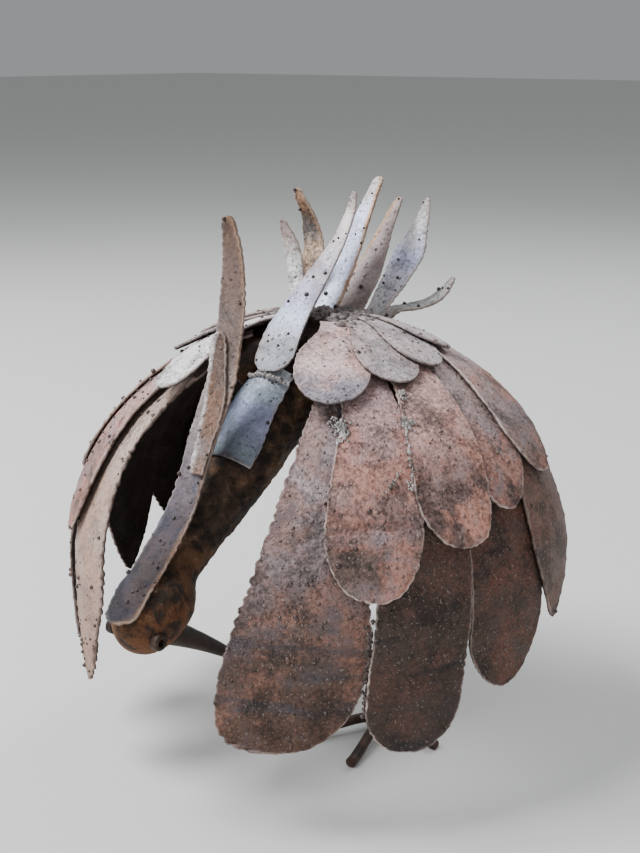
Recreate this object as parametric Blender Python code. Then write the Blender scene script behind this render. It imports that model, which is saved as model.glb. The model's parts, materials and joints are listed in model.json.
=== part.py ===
"""Welded sheet-metal bird that stands with its head bent down under a dome of wing feathers.

Metres, +Z up. The bird faces -Y, its left side is +X, and the ground it stands on is Z = 0.
The wing feathers lie in layers on one rounded shell. A place on the shell is a bearing
(degrees round from straight ahead, towards the bird's left), an arc (metres down from the crown)
and a height above the shell. All points are worked out from the shell's axis, and each object's
mesh is then set off to where that axis stands.
"""
import math
from dataclasses import dataclass, replace

import bmesh
import bpy
from mathutils import Vector

# Sheet metal and clearances: the gap kept at a weld, and the air between two layers of feathers
SHEET = 0.0015
WELD_GAP = 0.0003
LAYER_AIR = 0.0010
LAYER_PITCH = SHEET + LAYER_AIR
PLATE_AIR = 0.00085

# Where the shell's axis stands, so that the origin is on the ground under the whole bird's middle
AXIS_LEFT = 0.0004
AXIS_BACK = 0.0228

# The shell that the wings follow
SHELL_RADIUS = 0.138
SHELL_RISE = 0.127
SHELL_WAIST_Z = 0.107
SHELL_CURL = 0.008
WING_TURN = 6.0

# Feather rows: where each row's roots stop on the body, and how long a step they rest on
COVERT_ROOT_ARC = 0.021
ROOT_STEP = 0.007
ROOT_SEAT = 0.0062
FAN_POWER = 1.5
FEATHER_COLUMNS = 4
TIP_ANGLES = (32, 58, 78)

# Body under the feathers
BODY_DEPTH = 0.044
BODY_FRONT_SHARE = 0.32
BODY_FRONT_HALF_ANGLE = 20.0
BODY_UPPER_HALF_ANGLE = 38.0
BODY_FRONT_BLEND = 9.0
BODY_SPOKES = 24

# Weld ridge along the back, which holds the crest plumes
RIDGE_AHEAD = 0.012
RIDGE_ARC = 0.066
RIDGE_HALF_WIDTH = 0.0085
RIDGE_NARROWING = 0.72
RIDGE_TOP = 0.0145
RIDGE_END_TOP = 0.0075
RIDGE_DEPTH = 0.007
RIDGE_LUMP = 0.0010
RIDGE_BEARING = 183.0
RIDGE_STEPS = 8
RIDGE_SIDES = 6

# Neck and head: distances ahead of the shell's axis and below its crown
NECK_AHEAD = (0.008, 0.038, 0.060, 0.075, 0.0925, 0.110)
NECK_DROP = (0.027, 0.038, 0.057, 0.072, 0.088, 0.102)
NECK_RADII = (0.0225, 0.0205, 0.0183, 0.0154, 0.0123, 0.0108)
HEAD_LENGTH = 0.053
HEAD_RADIUS = 0.0188
HEAD_SAG = 0.002
HEAD_PITCH = 38.5
HEAD_SWELL_END = 0.42
HEAD_CLOSE_START = 0.50
HEAD_CLOSE_POWER = 2.4
HEAD_SHARES = (0.12, 0.26, 0.40, 0.54, 0.68, 0.80, 0.89, 0.95, 0.985)
NECK_STEPS = 11
NECK_SIDES = 15
SOCKET_RINGS = 7

# Beak
BEAK_LENGTH = 0.070
BEAK_BASE_RADIUS = 0.0076
BEAK_TIP_RADIUS = 0.0021
BEAK_PITCH = 32.0
BEAK_AT = 0.60
BEAK_SEAT_DEPTH = 0.78
BEAK_ARCH = 0.0012
BEAK_TAPER = 0.85
BEAK_STEPS = 7
BEAK_SIDES = 10
BEAK_SEAT_RINGS = 4

# Eyes: a nut let into each side of the head
EYE_RADIUS = 0.0042
EYE_BORE = 0.0019
EYE_THICKNESS = 0.0045
EYE_AT = 0.83
EYE_SEAT = 0.0010
EYE_SIDES = 12

# Legs and feet
FOOT_HALF_SPACING = 0.033
FOOT_BACK = 0.023
HIP_HALF_SPACING = 0.020
HIP_BACK = 0.012
HIP_SEAT = 0.012
LEG_RADIUS = 0.0042
LEG_BOW = 0.002
LEG_SIDES = 12
ANKLE_RADIUS = 0.0092
ANKLE_HEIGHT = 0.010
ANKLE_TOP = 0.022
TOE_RADIUS = 0.0030
TOE_RISE = 0.0045
TOE_SIDES = 6
INNER_TOE_CLEAR = 0.007


@dataclass(frozen=True)
class Feather:
    """One sheet feather: bearings in degrees from the wing's own front, sizes in metres."""

    name: str
    root_bearing: float
    tip_bearing: float
    root_arc: float
    tip_arc: float
    root_width: float
    width: float
    belly: float
    tip_length: float
    tip_power: float
    lean: float
    front_layer: float
    rear_layer: float
    stations: int


@dataclass(frozen=True)
class Plume:
    """One bent strip: points along its middle from the foot up, and its width at each point."""

    name: str
    points: tuple
    widths: tuple
    side: tuple
    dish: float
    stations: int
    seated: bool


# Roots of the rows, each one step further out than the row above it
MEDIAN_HIGH_ROOT = COVERT_ROOT_ARC + ROOT_STEP
MEDIAN_LOW_ROOT = MEDIAN_HIGH_ROOT + ROOT_STEP
PRIMARY_HIGH_ROOT = MEDIAN_LOW_ROOT + ROOT_STEP
PRIMARY_LOW_ROOT = PRIMARY_HIGH_ROOT + ROOT_STEP

FEATHERS = (
    Feather("primary_1", 42, 28, PRIMARY_LOW_ROOT, 0.265, 0.020, 0.077, 0.98, 0.060, 2.6, -0.014, 0, 0, 11),
    Feather("primary_2", 66, 53, PRIMARY_HIGH_ROOT, 0.266, 0.018, 0.050, 0.62, 0.027, 2.0, 0.000, 1, 1, 11),
    Feather("primary_3", 88, 77.6, PRIMARY_LOW_ROOT, 0.244, 0.020, 0.056, 0.60, 0.030, 1.6, 0.000, 0, 0, 11),
    Feather("primary_4", 116, 97, PRIMARY_HIGH_ROOT, 0.220, 0.018, 0.055, 0.60, 0.045, 1.3, -0.004, 1, 1, 11),
    Feather("primary_5", 133, 115, PRIMARY_LOW_ROOT, 0.195, 0.020, 0.050, 0.60, 0.034, 1.5, 0.000, 0, 0, 10),
    Feather("primary_6", 148, 135, PRIMARY_HIGH_ROOT, 0.176, 0.014, 0.046, 0.65, 0.032, 1.5, 0.000, 1, 1, 9),
    Feather("median_1", 57, 44.5, MEDIAN_LOW_ROOT, 0.1845, 0.017, 0.048, 0.80, 0.036, 2.0, 0.002, 2, 2, 9),
    Feather("median_2", 82, 64, MEDIAN_HIGH_ROOT, 0.164, 0.015, 0.041, 0.72, 0.030, 2.2, 0.006, 3, 3, 8),
    Feather("median_3", 112, 82, MEDIAN_LOW_ROOT, 0.152, 0.017, 0.042, 0.62, 0.028, 1.7, 0.000, 2, 2, 8),
    Feather("median_4", 134, 102, MEDIAN_HIGH_ROOT, 0.143, 0.014, 0.046, 0.60, 0.030, 1.8, 0.000, 3, 3, 7),
    Feather("covert_1", 52, 37, COVERT_ROOT_ARC, 0.087, 0.013, 0.037, 0.60, 0.020, 2.0, 0.000, 5.4, 4, 5),
    Feather("covert_2", 80, 65, COVERT_ROOT_ARC, 0.077, 0.013, 0.034, 0.60, 0.018, 2.0, 0.000, 5.4, 4, 5),
    Feather("covert_3", 108, 87, COVERT_ROOT_ARC, 0.072, 0.013, 0.034, 0.60, 0.018, 1.8, 0.000, 5.4, 4, 5),
    Feather("covert_4", 136, 114, COVERT_ROOT_ARC, 0.066, 0.012, 0.030, 0.60, 0.018, 1.8, 0.000, 5.4, 4, 5),
)

# How the right wing's feathers differ from the left wing's
RIGHT_CHANGES = {
    "primary_1": {"root_bearing": 42, "tip_bearing": 30.5, "tip_arc": 0.266, "width": 0.056, "belly": 0.78,
                  "tip_length": 0.080, "tip_power": 1.45, "lean": 0.0125},
    "primary_2": {"tip_bearing": 60, "tip_arc": 0.262, "width": 0.055},
    "primary_3": {"tip_bearing": 86, "width": 0.046, "tip_length": 0.045, "tip_power": 1.3},
    "primary_4": {"tip_bearing": 103, "lean": 0.0},
    "covert_1": {"root_bearing": 58, "tip_bearing": 29, "tip_arc": 0.092},
}

# Heights and distances of the crest plumes are measured from the shell's crown
PLUMES = (
    Plume("crest_plume_front",
          ((3, -45.5, -13.2), (-1, -31, 4.5), (-2, -16, 18.5), (-2, -2, 30), (-2, 10, 40.5), (-2, 20.5, 51.5),
           (-2, 29, 64), (-2, 32, 75)),
          (25, 25, 20, 16, 12, 8, 6, 3), (1, 0, 0), 0.060, 11, False),
    Plume("crest_plume_second",
          ((-3, 4, 6), (-4, 12, 15.5), (-5, 20.5, 26), (-5, 27.5, 35), (-5, 35.5, 45.5), (-5, 42, 57.5),
           (-5, 50, 69), (-5, 58.5, 81)),
          (13, 15, 16, 15, 13, 11, 9, 5), (1, 0, 0), 0.060, 9, True),
    Plume("crest_plume_far",
          ((-14, 3, 5), (-18, 5, 15), (-23, 7, 25), (-25, 7.5, 37), (-25, 4.5, 48), (-26, 1, 56),
           (-27, -1, 61)),
          (5.5, 8, 8.5, 10, 8, 5, 2.5), (1, 0.3, 0), 0.040, 8, True),
    Plume("crest_plume_far_tall",
          ((-15.5, 11, 4), (-17, 11, 20), (-17, 12, 35.5), (-16, 14, 43.5), (-16, 12.5, 52.5),
           (-17, 10, 63.5), (-18, 5, 72), (-20, 4, 78)),
          (7, 10, 12, 12, 11, 8, 6, 3.5), (1, 0.2, 0), 0.040, 9, True),
    Plume("crest_plume_middle",
          ((-3, 22, 2), (-3, 29, 10), (-3, 43, 28), (-3, 54, 39.5), (-3, 63, 51.5), (-3, 69.5, 60),
           (-3, 76.5, 68)),
          (16, 19, 20, 14, 9, 7, 3.5), (1, 0, 0), 0.050, 9, True),
    Plume("crest_plume_rear",
          ((3.5, 39, 0), (4, 46, 8.5), (5, 63.5, 26.5), (7, 73.5, 39.5), (9, 79.5, 51.5), (10, 83, 60),
           (11, 84.5, 68)),
          (11, 13, 19, 20, 11, 6.5, 3.5), (1, 0, 0), 0.050, 9, True),
    Plume("crest_plume_low",
          ((0, 51, -7), (6, 56.5, 6), (13, 67, 8), (19, 76, 10), (25, 81, 15), (30, 85.5, 23.5)),
          (12, 13, 14, 13, 10, 4), (0.87, -0.49, 0), 0.030, 9, True),
)

# The long plume that caps the head, then runs up free of the neck. Its free points are millimetres
# along Y and above the crown.
CROWN_FREE_POINTS = ((-109.5, -72), (-94.5, -42), (-79.5, -12), (-71.5, 18), (-69, 48), (-72, 71))
CROWN_HEAD_SHARES = (0.93, 0.78, 0.55, 0.30)
CROWN_LAST_SHARE = 0.80
CROWN_STATIONS = 17
CROWN_WIDTHS = (0.0175, 0.021, 0.022, 0.021, 0.0175, 0.0175, 0.0190, 0.0175, 0.0145, 0.006)
CROWN_DISHES = (0.022, 0.022, 0.022, 0.022, 0.026, 0.036, 0.052, 0.060, 0.060, 0.060)
CROWN_AIR = 0.00135
CROWN_OFFSET = SHEET / 2 + CROWN_AIR

# The short plume that lies on the long one's front face, in millimetres like it
SMALL_CROWN_POINTS = ((5.0, -103.3, -55.9), (4.0, -92.7, -33.4), (1.0, -83.8, -15.6), (-2.2, -78.5, -0.8),
                      (-4.0, -75.3, 11.8))
SMALL_CROWN_WIDTHS = (0.008, 0.012, 0.0125, 0.0105, 0.0070)
SMALL_CROWN_ACROSS = (1, 0.08, 0)
SMALL_CROWN_DISH = 0.040
SMALL_CROWN_STATIONS = 7

# Plate on the nape, wrapped round the neck
NAPE_SHARES = (0.14, 0.26, 0.38, 0.50)
NAPE_SWING = (-7.0, -6.0, 0.0, 8.0)
NAPE_WIDTH = 0.038
NAPE_END_TAPER = 0.35
NAPE_OFFSET = SHEET / 2 + PLATE_AIR
NAPE_STATIONS = 8
NAPE_HALF_COLUMNS = 3

# Toes: where each one ends, measured from its own ankle, towards the bird's outer side and back
TOES = (
    ("front_toe", 0.016, -0.055),
    ("inner_toe", INNER_TOE_CLEAR - FOOT_HALF_SPACING, -0.052),
    ("outer_toe", 0.040, -0.008),
    ("hind_toe", -0.006, 0.034),
)

# How far each stretch of a toe is lifted, as shares of its length and of its rise
TOE_ARCH = ((0.0, 0.75), (0.25, 1.0), (0.5, 0.8), (0.75, 0.2), (0.9, 0.0), (1.0, 0.0))

COLOURS = {
    "wing": ((0.150, 0.072, 0.050), 0.62, 0.75),
    "covert": ((0.215, 0.130, 0.105), 0.60, 0.75),
    "crust": ((0.060, 0.030, 0.020), 0.90, 0.30),
    "blued": ((0.150, 0.155, 0.215), 0.42, 0.90),
    "beak": ((0.045, 0.022, 0.016), 0.50, 0.80),
    "rod": ((0.070, 0.035, 0.028), 0.65, 0.70),
}


def clear_scene():
    """Remove every object of the open scene."""
    for old in list(bpy.data.objects):
        bpy.data.objects.remove(old, do_unlink=True)


def material(kind):
    """Principled material of one kind, made once."""
    known = bpy.data.materials.get(kind)
    if known:
        return known
    colour, roughness, metallic = COLOURS[kind]
    made = bpy.data.materials.new(kind)
    made.use_nodes = True
    shader = made.node_tree.nodes["Principled BSDF"]
    shader.inputs["Base Color"].default_value = (*colour, 1.0)
    shader.inputs["Roughness"].default_value = roughness
    shader.inputs["Metallic"].default_value = metallic
    return made


def add_object(name, points, faces, kind, cutter=False):
    """Closed mesh object with its faces pointing out, from points measured from the shell's axis."""
    mesh = bpy.data.meshes.new(name)
    shape = bmesh.new()
    axis = Vector((AXIS_LEFT, AXIS_BACK, 0))
    vertices = [shape.verts.new(point + axis) for point in points]
    for face in faces:
        shape.faces.new([vertices[index] for index in face])
    bmesh.ops.recalc_face_normals(shape, faces=shape.faces)
    shape.to_mesh(mesh)
    shape.free()
    mesh.shade_smooth()
    mesh.set_sharp_from_angle(angle=math.radians(40))
    made = bpy.data.objects.new(name, mesh)
    bpy.context.scene.collection.objects.link(made)
    mesh.materials.append(material(kind))
    if cutter:
        made.hide_render = True
        made.display_type = "WIRE"
    return made


def mix(start, end, share):
    """Straight blend of two numbers."""
    return start + (end - start) * share


def smooth(share):
    """Ease in and out between 0 and 1."""
    share = min(max(share, 0.0), 1.0)
    return share * share * (3 - 2 * share)


def sample(values, share):
    """Value at a share of the way along a row of evenly spaced values."""
    place = min(max(share, 0.0), 1.0) * (len(values) - 1)
    index = min(int(place), len(values) - 2)
    return mix(values[index], values[index + 1], place - index)


def curve_through(points, share):
    """Smooth curve through a row of points, read at a share of its spans."""
    spans = len(points) - 1
    place = min(max(share, 0.0), 1.0) * spans
    index = min(int(place), spans - 1)
    along = place - index
    start, end = points[index], points[index + 1]
    before = points[index - 1] if index else start * 2 - end
    after = points[index + 2] if index + 2 <= spans else end * 2 - start
    rise = (end - before) * 0.5
    fall = (after - start) * 0.5
    return (start * (2 * along**3 - 3 * along**2 + 1) + rise * (along**3 - 2 * along**2 + along)
            + end * (3 * along**2 - 2 * along**3) + fall * (along**3 - along**2))


def crown_height():
    """Height of the shell's crown above the ground."""
    return SHELL_WAIST_Z + SHELL_RISE


def crown_scale():
    """Mean radius that turns an arc on the upper shell into an angle."""
    return (SHELL_RADIUS + SHELL_RISE) / 2


def shell_point(bearing, arc, height):
    """Point at a bearing, an arc down from the crown and a height off the shell."""
    scale = crown_scale()
    angle = arc / scale
    if angle < math.pi / 2:
        radius = SHELL_RADIUS * math.sin(angle)
        level = SHELL_WAIST_Z + SHELL_RISE * math.cos(angle)
        normal = Vector((math.sin(angle) / SHELL_RADIUS, math.cos(angle) / SHELL_RISE)).normalized()
    else:
        below = arc - scale * math.pi / 2
        level = SHELL_WAIST_Z - below
        radius = SHELL_RADIUS - SHELL_CURL * (below / SHELL_WAIST_Z) ** 2
        normal = Vector((1.0, 0.0))
    radius += normal.x * height
    level += normal.y * height
    turn = math.radians(bearing)
    return Vector((radius * math.sin(turn), -radius * math.cos(turn), level))


def plan_radius(arc):
    """Distance of the shell from its axis at an arc."""
    return math.hypot(*shell_point(0, arc, 0).xy)


def sheet_faces(rows, columns):
    """Faces of a closed sheet: one grid of points for each side, joined round the rim."""
    def index(side, row, column):
        return (side * rows + row) * columns + column

    faces = []
    for row in range(rows - 1):
        for column in range(columns - 1):
            for side in (0, 1):
                corners = [index(side, row, column), index(side, row, column + 1),
                           index(side, row + 1, column + 1), index(side, row + 1, column)]
                faces.append(corners if side else corners[::-1])
    rim = [(0, column) for column in range(columns)]
    rim += [(row, columns - 1) for row in range(1, rows)]
    rim += [(rows - 1, column) for column in range(columns - 2, -1, -1)]
    rim += [(row, 0) for row in range(rows - 2, 0, -1)]
    for place, start in enumerate(rim):
        end = rim[(place + 1) % len(rim)]
        faces.append((index(0, *start), index(0, *end), index(1, *end), index(1, *start)))
    return faces


def tip_share(angle):
    """Share of a feather's rounded tip at an angle of the tip's curve."""
    return math.sin(math.radians(angle)) / math.sin(math.radians(TIP_ANGLES[-1]))


def feather_stations(feather):
    """Shares along a feather: its seat, even steps over the blade, closer ones round the tip."""
    length = feather.tip_arc - feather.root_arc
    seat = ROOT_SEAT / length
    bend = 1 - feather.tip_length / length
    steps = feather.stations - len(TIP_ANGLES) - 1
    shares = [0.0] + [mix(seat, bend, step / steps) for step in range(steps + 1)]
    shares += [mix(bend, 1.0, tip_share(angle)) for angle in TIP_ANGLES]
    return shares, bend


def feather_width(feather, share, bend):
    """Full width of a feather at a share of its length."""
    width = mix(feather.root_width, feather.width, smooth(share / feather.belly))
    if share > bend:
        round_off = (share - bend) / (1 - bend) * math.sin(math.radians(TIP_ANGLES[-1]))
        width *= (1 - round_off**feather.tip_power) ** (1 / feather.tip_power)
    return width


def make_feather(feather, side):
    """Sheet feather on the shell, on the left wing (side 1) or the right wing (side -1)."""
    shares, bend = feather_stations(feather)
    grids = ([], [])
    for share in shares:
        arc = mix(feather.root_arc, feather.tip_arc, share)
        middle = mix(feather.tip_bearing, feather.root_bearing, (1 - share) ** FAN_POWER)
        width = feather_width(feather, share, bend)
        shift = feather.lean * max(0.0, (share - bend) / (1 - bend)) ** 2
        degrees = math.degrees(1 / plan_radius(arc))
        for column in range(FEATHER_COLUMNS + 1):
            across = column / FEATHER_COLUMNS
            bearing = middle + (width * (across - 0.5) + shift) * degrees
            height = mix(feather.front_layer, feather.rear_layer, across) * LAYER_PITCH
            for grid, offset in zip(grids, (SHEET / 2, -SHEET / 2)):
                grid.append(shell_point(WING_TURN + side * bearing, arc, height + offset))
    kind = "covert" if feather.name.startswith("covert") else "wing"
    name = ("left_" if side > 0 else "right_") + feather.name
    return add_object(name, grids[0] + grids[1], sheet_faces(len(shares), FEATHER_COLUMNS + 1), kind)


def strip_grid(points, widths, dishes, side, stations, columns, extra):
    """Two grids of a bent strip, grown all round by the extra clearance."""
    grids = ([], [])
    for step in range(stations + 1):
        share = step / stations
        middle = curve_through(points, share)
        ahead = curve_through(points, share + 0.01) - curve_through(points, share - 0.01)
        tangent = ahead.normalized()
        if step in (0, stations):
            middle = middle + tangent * extra * (1 if step else -1)
        across = (side - tangent * side.dot(tangent)).normalized()
        normal = across.cross(tangent).normalized()
        if normal.y > 0:
            normal = -normal
        dish = sample(dishes, share)
        half = sample(widths, share) / 2 + extra
        for column in range(columns + 1):
            reach = half * (2 * column / columns - 1)
            turn = reach / dish
            for grid, offset in zip(grids, (SHEET / 2 + extra, -SHEET / 2 - extra)):
                radius = dish + offset
                sideways = across * radius * math.sin(turn)
                grid.append(middle + sideways + normal * (radius * math.cos(turn) - dish))
    return grids


def make_strip(name, points, widths, dishes, side, stations, kind, columns=2, extra=0.0):
    """Closed bent strip, or its cutter when it is grown by a clearance."""
    grids = strip_grid(points, widths, dishes, side, stations, columns, extra)
    faces = sheet_faces(stations + 1, columns + 1)
    return add_object(name, grids[0] + grids[1], faces, kind, cutter=extra > 0)


def tube_rings(centres, radii, sides, side_axis):
    """Rings of points round a bent path, square to it."""
    rings = []
    for index, centre in enumerate(centres):
        before = centres[max(index - 1, 0)]
        after = centres[min(index + 1, len(centres) - 1)]
        tangent = (after - before).normalized()
        across = (side_axis - tangent * side_axis.dot(tangent)).normalized()
        up = across.cross(tangent)
        ring = []
        for step in range(sides):
            turn = 2 * math.pi * step / sides
            ring.append(centre + (across * math.cos(turn) + up * math.sin(turn)) * radii[index])
        rings.append(ring)
    return rings


def tube_faces(rings, sides):
    """Faces of a closed tube: its flat ends, then its sides."""
    count = rings * sides
    faces = [list(range(sides)), [count - 1 - step for step in range(sides)]]
    for row in range(rings - 1):
        for step in range(sides):
            near = row * sides + step
            far = row * sides + (step + 1) % sides
            faces.append((near, far, far + sides, near + sides))
    return faces


def make_tube(name, centres, radii, sides, kind, side_axis=Vector((1, 0, 0)), cutter=False):
    """Closed tube through rings, with flat ends."""
    rings = tube_rings(centres, radii, sides, side_axis)
    points = [point for ring in rings for point in ring]
    return add_object(name, points, tube_faces(len(rings), sides), kind, cutter)


def sagittal(ahead, drop):
    """Point in the bird's middle plane, ahead of the axis and below the crown."""
    return Vector((0, -ahead, crown_height() - drop))


def head_axis():
    """Direction in which the head lies, from the nape to its lowest end."""
    pitch = math.radians(HEAD_PITCH)
    return Vector((0, -math.cos(pitch), -math.sin(pitch)))


def head_point(share):
    """Point on the head's own axis."""
    start = sagittal(NECK_AHEAD[-1], NECK_DROP[-1])
    sag = head_axis().cross(Vector((1, 0, 0)))
    if sag.z > 0:
        sag = -sag
    return start + head_axis() * HEAD_LENGTH * share + sag * HEAD_SAG * smooth(share * 2)


def head_radius(share):
    """Radius of the head at a share of its length: swells from the neck, closes like an egg."""
    swell = mix(NECK_RADII[-1], HEAD_RADIUS, smooth(share / HEAD_SWELL_END))
    closing = max(0.0, (share - HEAD_CLOSE_START) / (1 - HEAD_CLOSE_START))
    return swell * math.sqrt(max(0.0, 1 - closing**HEAD_CLOSE_POWER))


def neck_points():
    """Points that the neck's middle line passes through."""
    return [sagittal(ahead, drop) for ahead, drop in zip(NECK_AHEAD, NECK_DROP)]


def neck_spine():
    """Centres and radii of the neck and head, from the body to the head's end."""
    points = neck_points()
    centres, radii = [], []
    for step in range(NECK_STEPS + 1):
        share = step / NECK_STEPS
        centres.append(curve_through(points, share))
        radii.append(sample(NECK_RADII, share))
    for share in HEAD_SHARES:
        centres.append(head_point(share))
        radii.append(head_radius(share))
    return centres, radii


def neck_frame(share):
    """Centre, radius and upward normal of the neck at a share of its path."""
    points = neck_points()
    tangent = (curve_through(points, share + 0.01) - curve_through(points, share - 0.01)).normalized()
    normal = Vector((1, 0, 0)).cross(tangent)
    if normal.z < 0:
        normal = -normal
    return curve_through(points, share), sample(NECK_RADII, share), normal


def body_levels():
    """Rings of the body as arc, height and half angle of the front cut: the seats, then the underside."""
    under = -SHEET / 2 - WELD_GAP
    seats = ((COVERT_ROOT_ARC, 5.2, 4), (MEDIAN_HIGH_ROOT, 4, 3), (MEDIAN_LOW_ROOT, 3, 2),
             (PRIMARY_HIGH_ROOT, 2, 1), (PRIMARY_LOW_ROOT, 1, 0))
    levels = []
    for root, upper, lower in seats:
        riser = root - WELD_GAP
        cut = BODY_UPPER_HALF_ANGLE if root < PRIMARY_HIGH_ROOT else BODY_FRONT_HALF_ANGLE
        levels.append((riser, upper * LAYER_PITCH + under, cut))
        levels.append((riser, lower * LAYER_PITCH + under, cut))
    rim = PRIMARY_LOW_ROOT + ROOT_STEP
    levels.append((rim, under, BODY_FRONT_HALF_ANGLE))
    for share, depth in ((0.97, 0.22), (0.84, 0.55), (0.60, 0.85), (0.30, 0.98)):
        levels.append((rim * share, -BODY_DEPTH * depth, BODY_FRONT_HALF_ANGLE))
    return levels


def front_share(bearing, cut):
    """Share of its full reach that the body has at a bearing: it is cut back where the neck leaves it."""
    off = abs((bearing + 180) % 360 - 180)
    blend = smooth((off - cut) / BODY_FRONT_BLEND)
    return mix(BODY_FRONT_SHARE, 1.0, blend)


def make_body_core():
    """Stepped weld mound that the feather roots rest on, with its round underside."""
    levels = body_levels()
    top = levels[0][1]
    points = [shell_point(0, 0, top)]
    for arc, height, cut in levels:
        for spoke in range(BODY_SPOKES):
            bearing = 360 * spoke / BODY_SPOKES
            points.append(shell_point(WING_TURN + bearing, arc * front_share(bearing, cut), height))
    points.append(shell_point(0, 0, -BODY_DEPTH))
    faces = []
    last = len(points) - 1
    for spoke in range(BODY_SPOKES):
        following = (spoke + 1) % BODY_SPOKES
        faces.append((0, 1 + spoke, 1 + following))
        for row in range(len(levels) - 1):
            near = 1 + row * BODY_SPOKES
            far = near + BODY_SPOKES
            faces.append((near + spoke, far + spoke, far + following, near + following))
        base = 1 + (len(levels) - 1) * BODY_SPOKES
        faces.append((base + spoke, last, base + following))
    return add_object("body", points, faces, "crust")


def make_ridge():
    """Lumpy weld ridge from just ahead of the crown down the middle of the back."""
    points = []
    for step in range(RIDGE_STEPS + 1):
        share = step / RIDGE_STEPS
        arc = mix(-RIDGE_AHEAD, RIDGE_ARC, share)
        bearing = RIDGE_BEARING if arc >= 0 else RIDGE_BEARING + 180
        top = mix(RIDGE_TOP, RIDGE_END_TOP, share) + RIDGE_LUMP * math.sin(step * 2.3)
        half = RIDGE_HALF_WIDTH * mix(1.0, RIDGE_NARROWING, share) + RIDGE_LUMP / 2 * math.cos(step * 1.9)
        for corner in range(RIDGE_SIDES):
            turn = 2 * math.pi * (corner + 0.5) / RIDGE_SIDES
            height = mix(-RIDGE_DEPTH, top, (1 + math.sin(turn)) / 2)
            points.append(shell_point(bearing, abs(arc), height) + Vector((half * math.cos(turn), 0, 0)))
    return add_object("ridge_guide", points, tube_faces(RIDGE_STEPS + 1, RIDGE_SIDES), "crust", cutter=True)


def add_boolean(target, other, operation):
    """Union or difference of two objects, kept as a modifier."""
    modifier = target.modifiers.new(other.name, "BOOLEAN")
    modifier.operation = operation
    modifier.solver = "EXACT"
    modifier.object = other


def plume_inputs(plume):
    """Points, widths, dishes and side direction of a crest plume in metres."""
    points = [Vector((x, y, z)) * 0.001 + Vector((0, 0, crown_height())) for x, y, z in plume.points]
    widths = [width * 0.001 for width in plume.widths]
    return points, widths, [plume.dish] * len(widths), Vector(plume.side).normalized(), plume.stations


def make_crest(body):
    """Crest plumes, each seated one let into the body's ridge by the weld gap."""
    for plume in PLUMES:
        points, widths, dishes, side, stations = plume_inputs(plume)
        make_strip(plume.name, points, widths, dishes, side, stations, "blued")
        if plume.seated:
            seat_name = plume.name + "_seat"
            seat = make_strip(seat_name, points, widths, dishes, side, stations, "blued", extra=WELD_GAP)
            add_boolean(body, seat, "DIFFERENCE")


def head_normal():
    """Direction square to the head's axis, up and ahead."""
    normal = Vector((1, 0, 0)).cross(head_axis())
    return normal if normal.z > 0 else -normal


def crown_plume_points():
    """Middle line of the long plume: over the head, then free of the neck and up."""
    points = []
    for share in CROWN_HEAD_SHARES:
        radius = head_radius(min(share, CROWN_LAST_SHARE))
        points.append(head_point(share) + head_normal() * (radius + CROWN_OFFSET))
    for y, rise in CROWN_FREE_POINTS:
        points.append(Vector((0, y * 0.001, crown_height() + rise * 0.001)))
    return points


def make_crown_plumes():
    """Long plume from the forehead and the short one beside it."""
    side = Vector((1, 0, 0))
    long_points = crown_plume_points()
    make_strip("crown_plume", long_points, CROWN_WIDTHS, CROWN_DISHES, side, CROWN_STATIONS, "blued", 4)
    short_points = []
    for x, y, rise in SMALL_CROWN_POINTS:
        short_points.append(Vector((x * 0.001, y * 0.001, crown_height() + rise * 0.001)))
    dishes = [SMALL_CROWN_DISH] * len(short_points)
    stations = SMALL_CROWN_STATIONS
    side = Vector(SMALL_CROWN_ACROSS).normalized()
    make_strip("crown_plume_small", short_points, SMALL_CROWN_WIDTHS, dishes, side, stations, "blued")


def make_nape_plate():
    """Plate wrapped round the upper neck."""
    grids = ([], [])
    for step in range(NAPE_STATIONS + 1):
        along = step / NAPE_STATIONS
        centre, radius, normal = neck_frame(sample(NAPE_SHARES, along))
        middle = math.radians(sample(NAPE_SWING, along))
        taper = 1 - NAPE_END_TAPER * max(0.0, 2 * abs(along - 0.5) - 0.55)
        half = NAPE_WIDTH / 2 * taper / (radius + NAPE_OFFSET)
        for column in range(-NAPE_HALF_COLUMNS, NAPE_HALF_COLUMNS + 1):
            turn = middle + half * column / NAPE_HALF_COLUMNS
            for grid, offset in zip(grids, (SHEET / 2, -SHEET / 2)):
                reach = radius + NAPE_OFFSET + offset
                grid.append(centre + normal * reach * math.cos(turn) + Vector((reach * math.sin(turn), 0, 0)))
    faces = sheet_faces(NAPE_STATIONS + 1, 2 * NAPE_HALF_COLUMNS + 1)
    add_object("nape_plate", grids[0] + grids[1], faces, "blued")


def make_neck_and_head():
    """Crusted neck and head in one, with seats for the beak and the eyes."""
    centres, radii = neck_spine()
    return make_tube("neck_and_head", centres, radii, NECK_SIDES, "crust")


def make_neck_socket():
    """Cutter that lets the neck's end into the body, wider where the nape plate lies on the neck."""
    centres, radii = neck_spine()
    inner = [centres[0] + (centres[0] - centres[1]).normalized() * WELD_GAP] + centres[1:SOCKET_RINGS]
    plate_room = NAPE_OFFSET + SHEET / 2 + 2 * WELD_GAP
    room = [WELD_GAP] + [plate_room] * (SOCKET_RINGS - 1)
    grown = [radius + extra for radius, extra in zip(radii, room)]
    return make_tube("neck_socket", inner, grown, NECK_SIDES, "crust", cutter=True)


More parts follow.
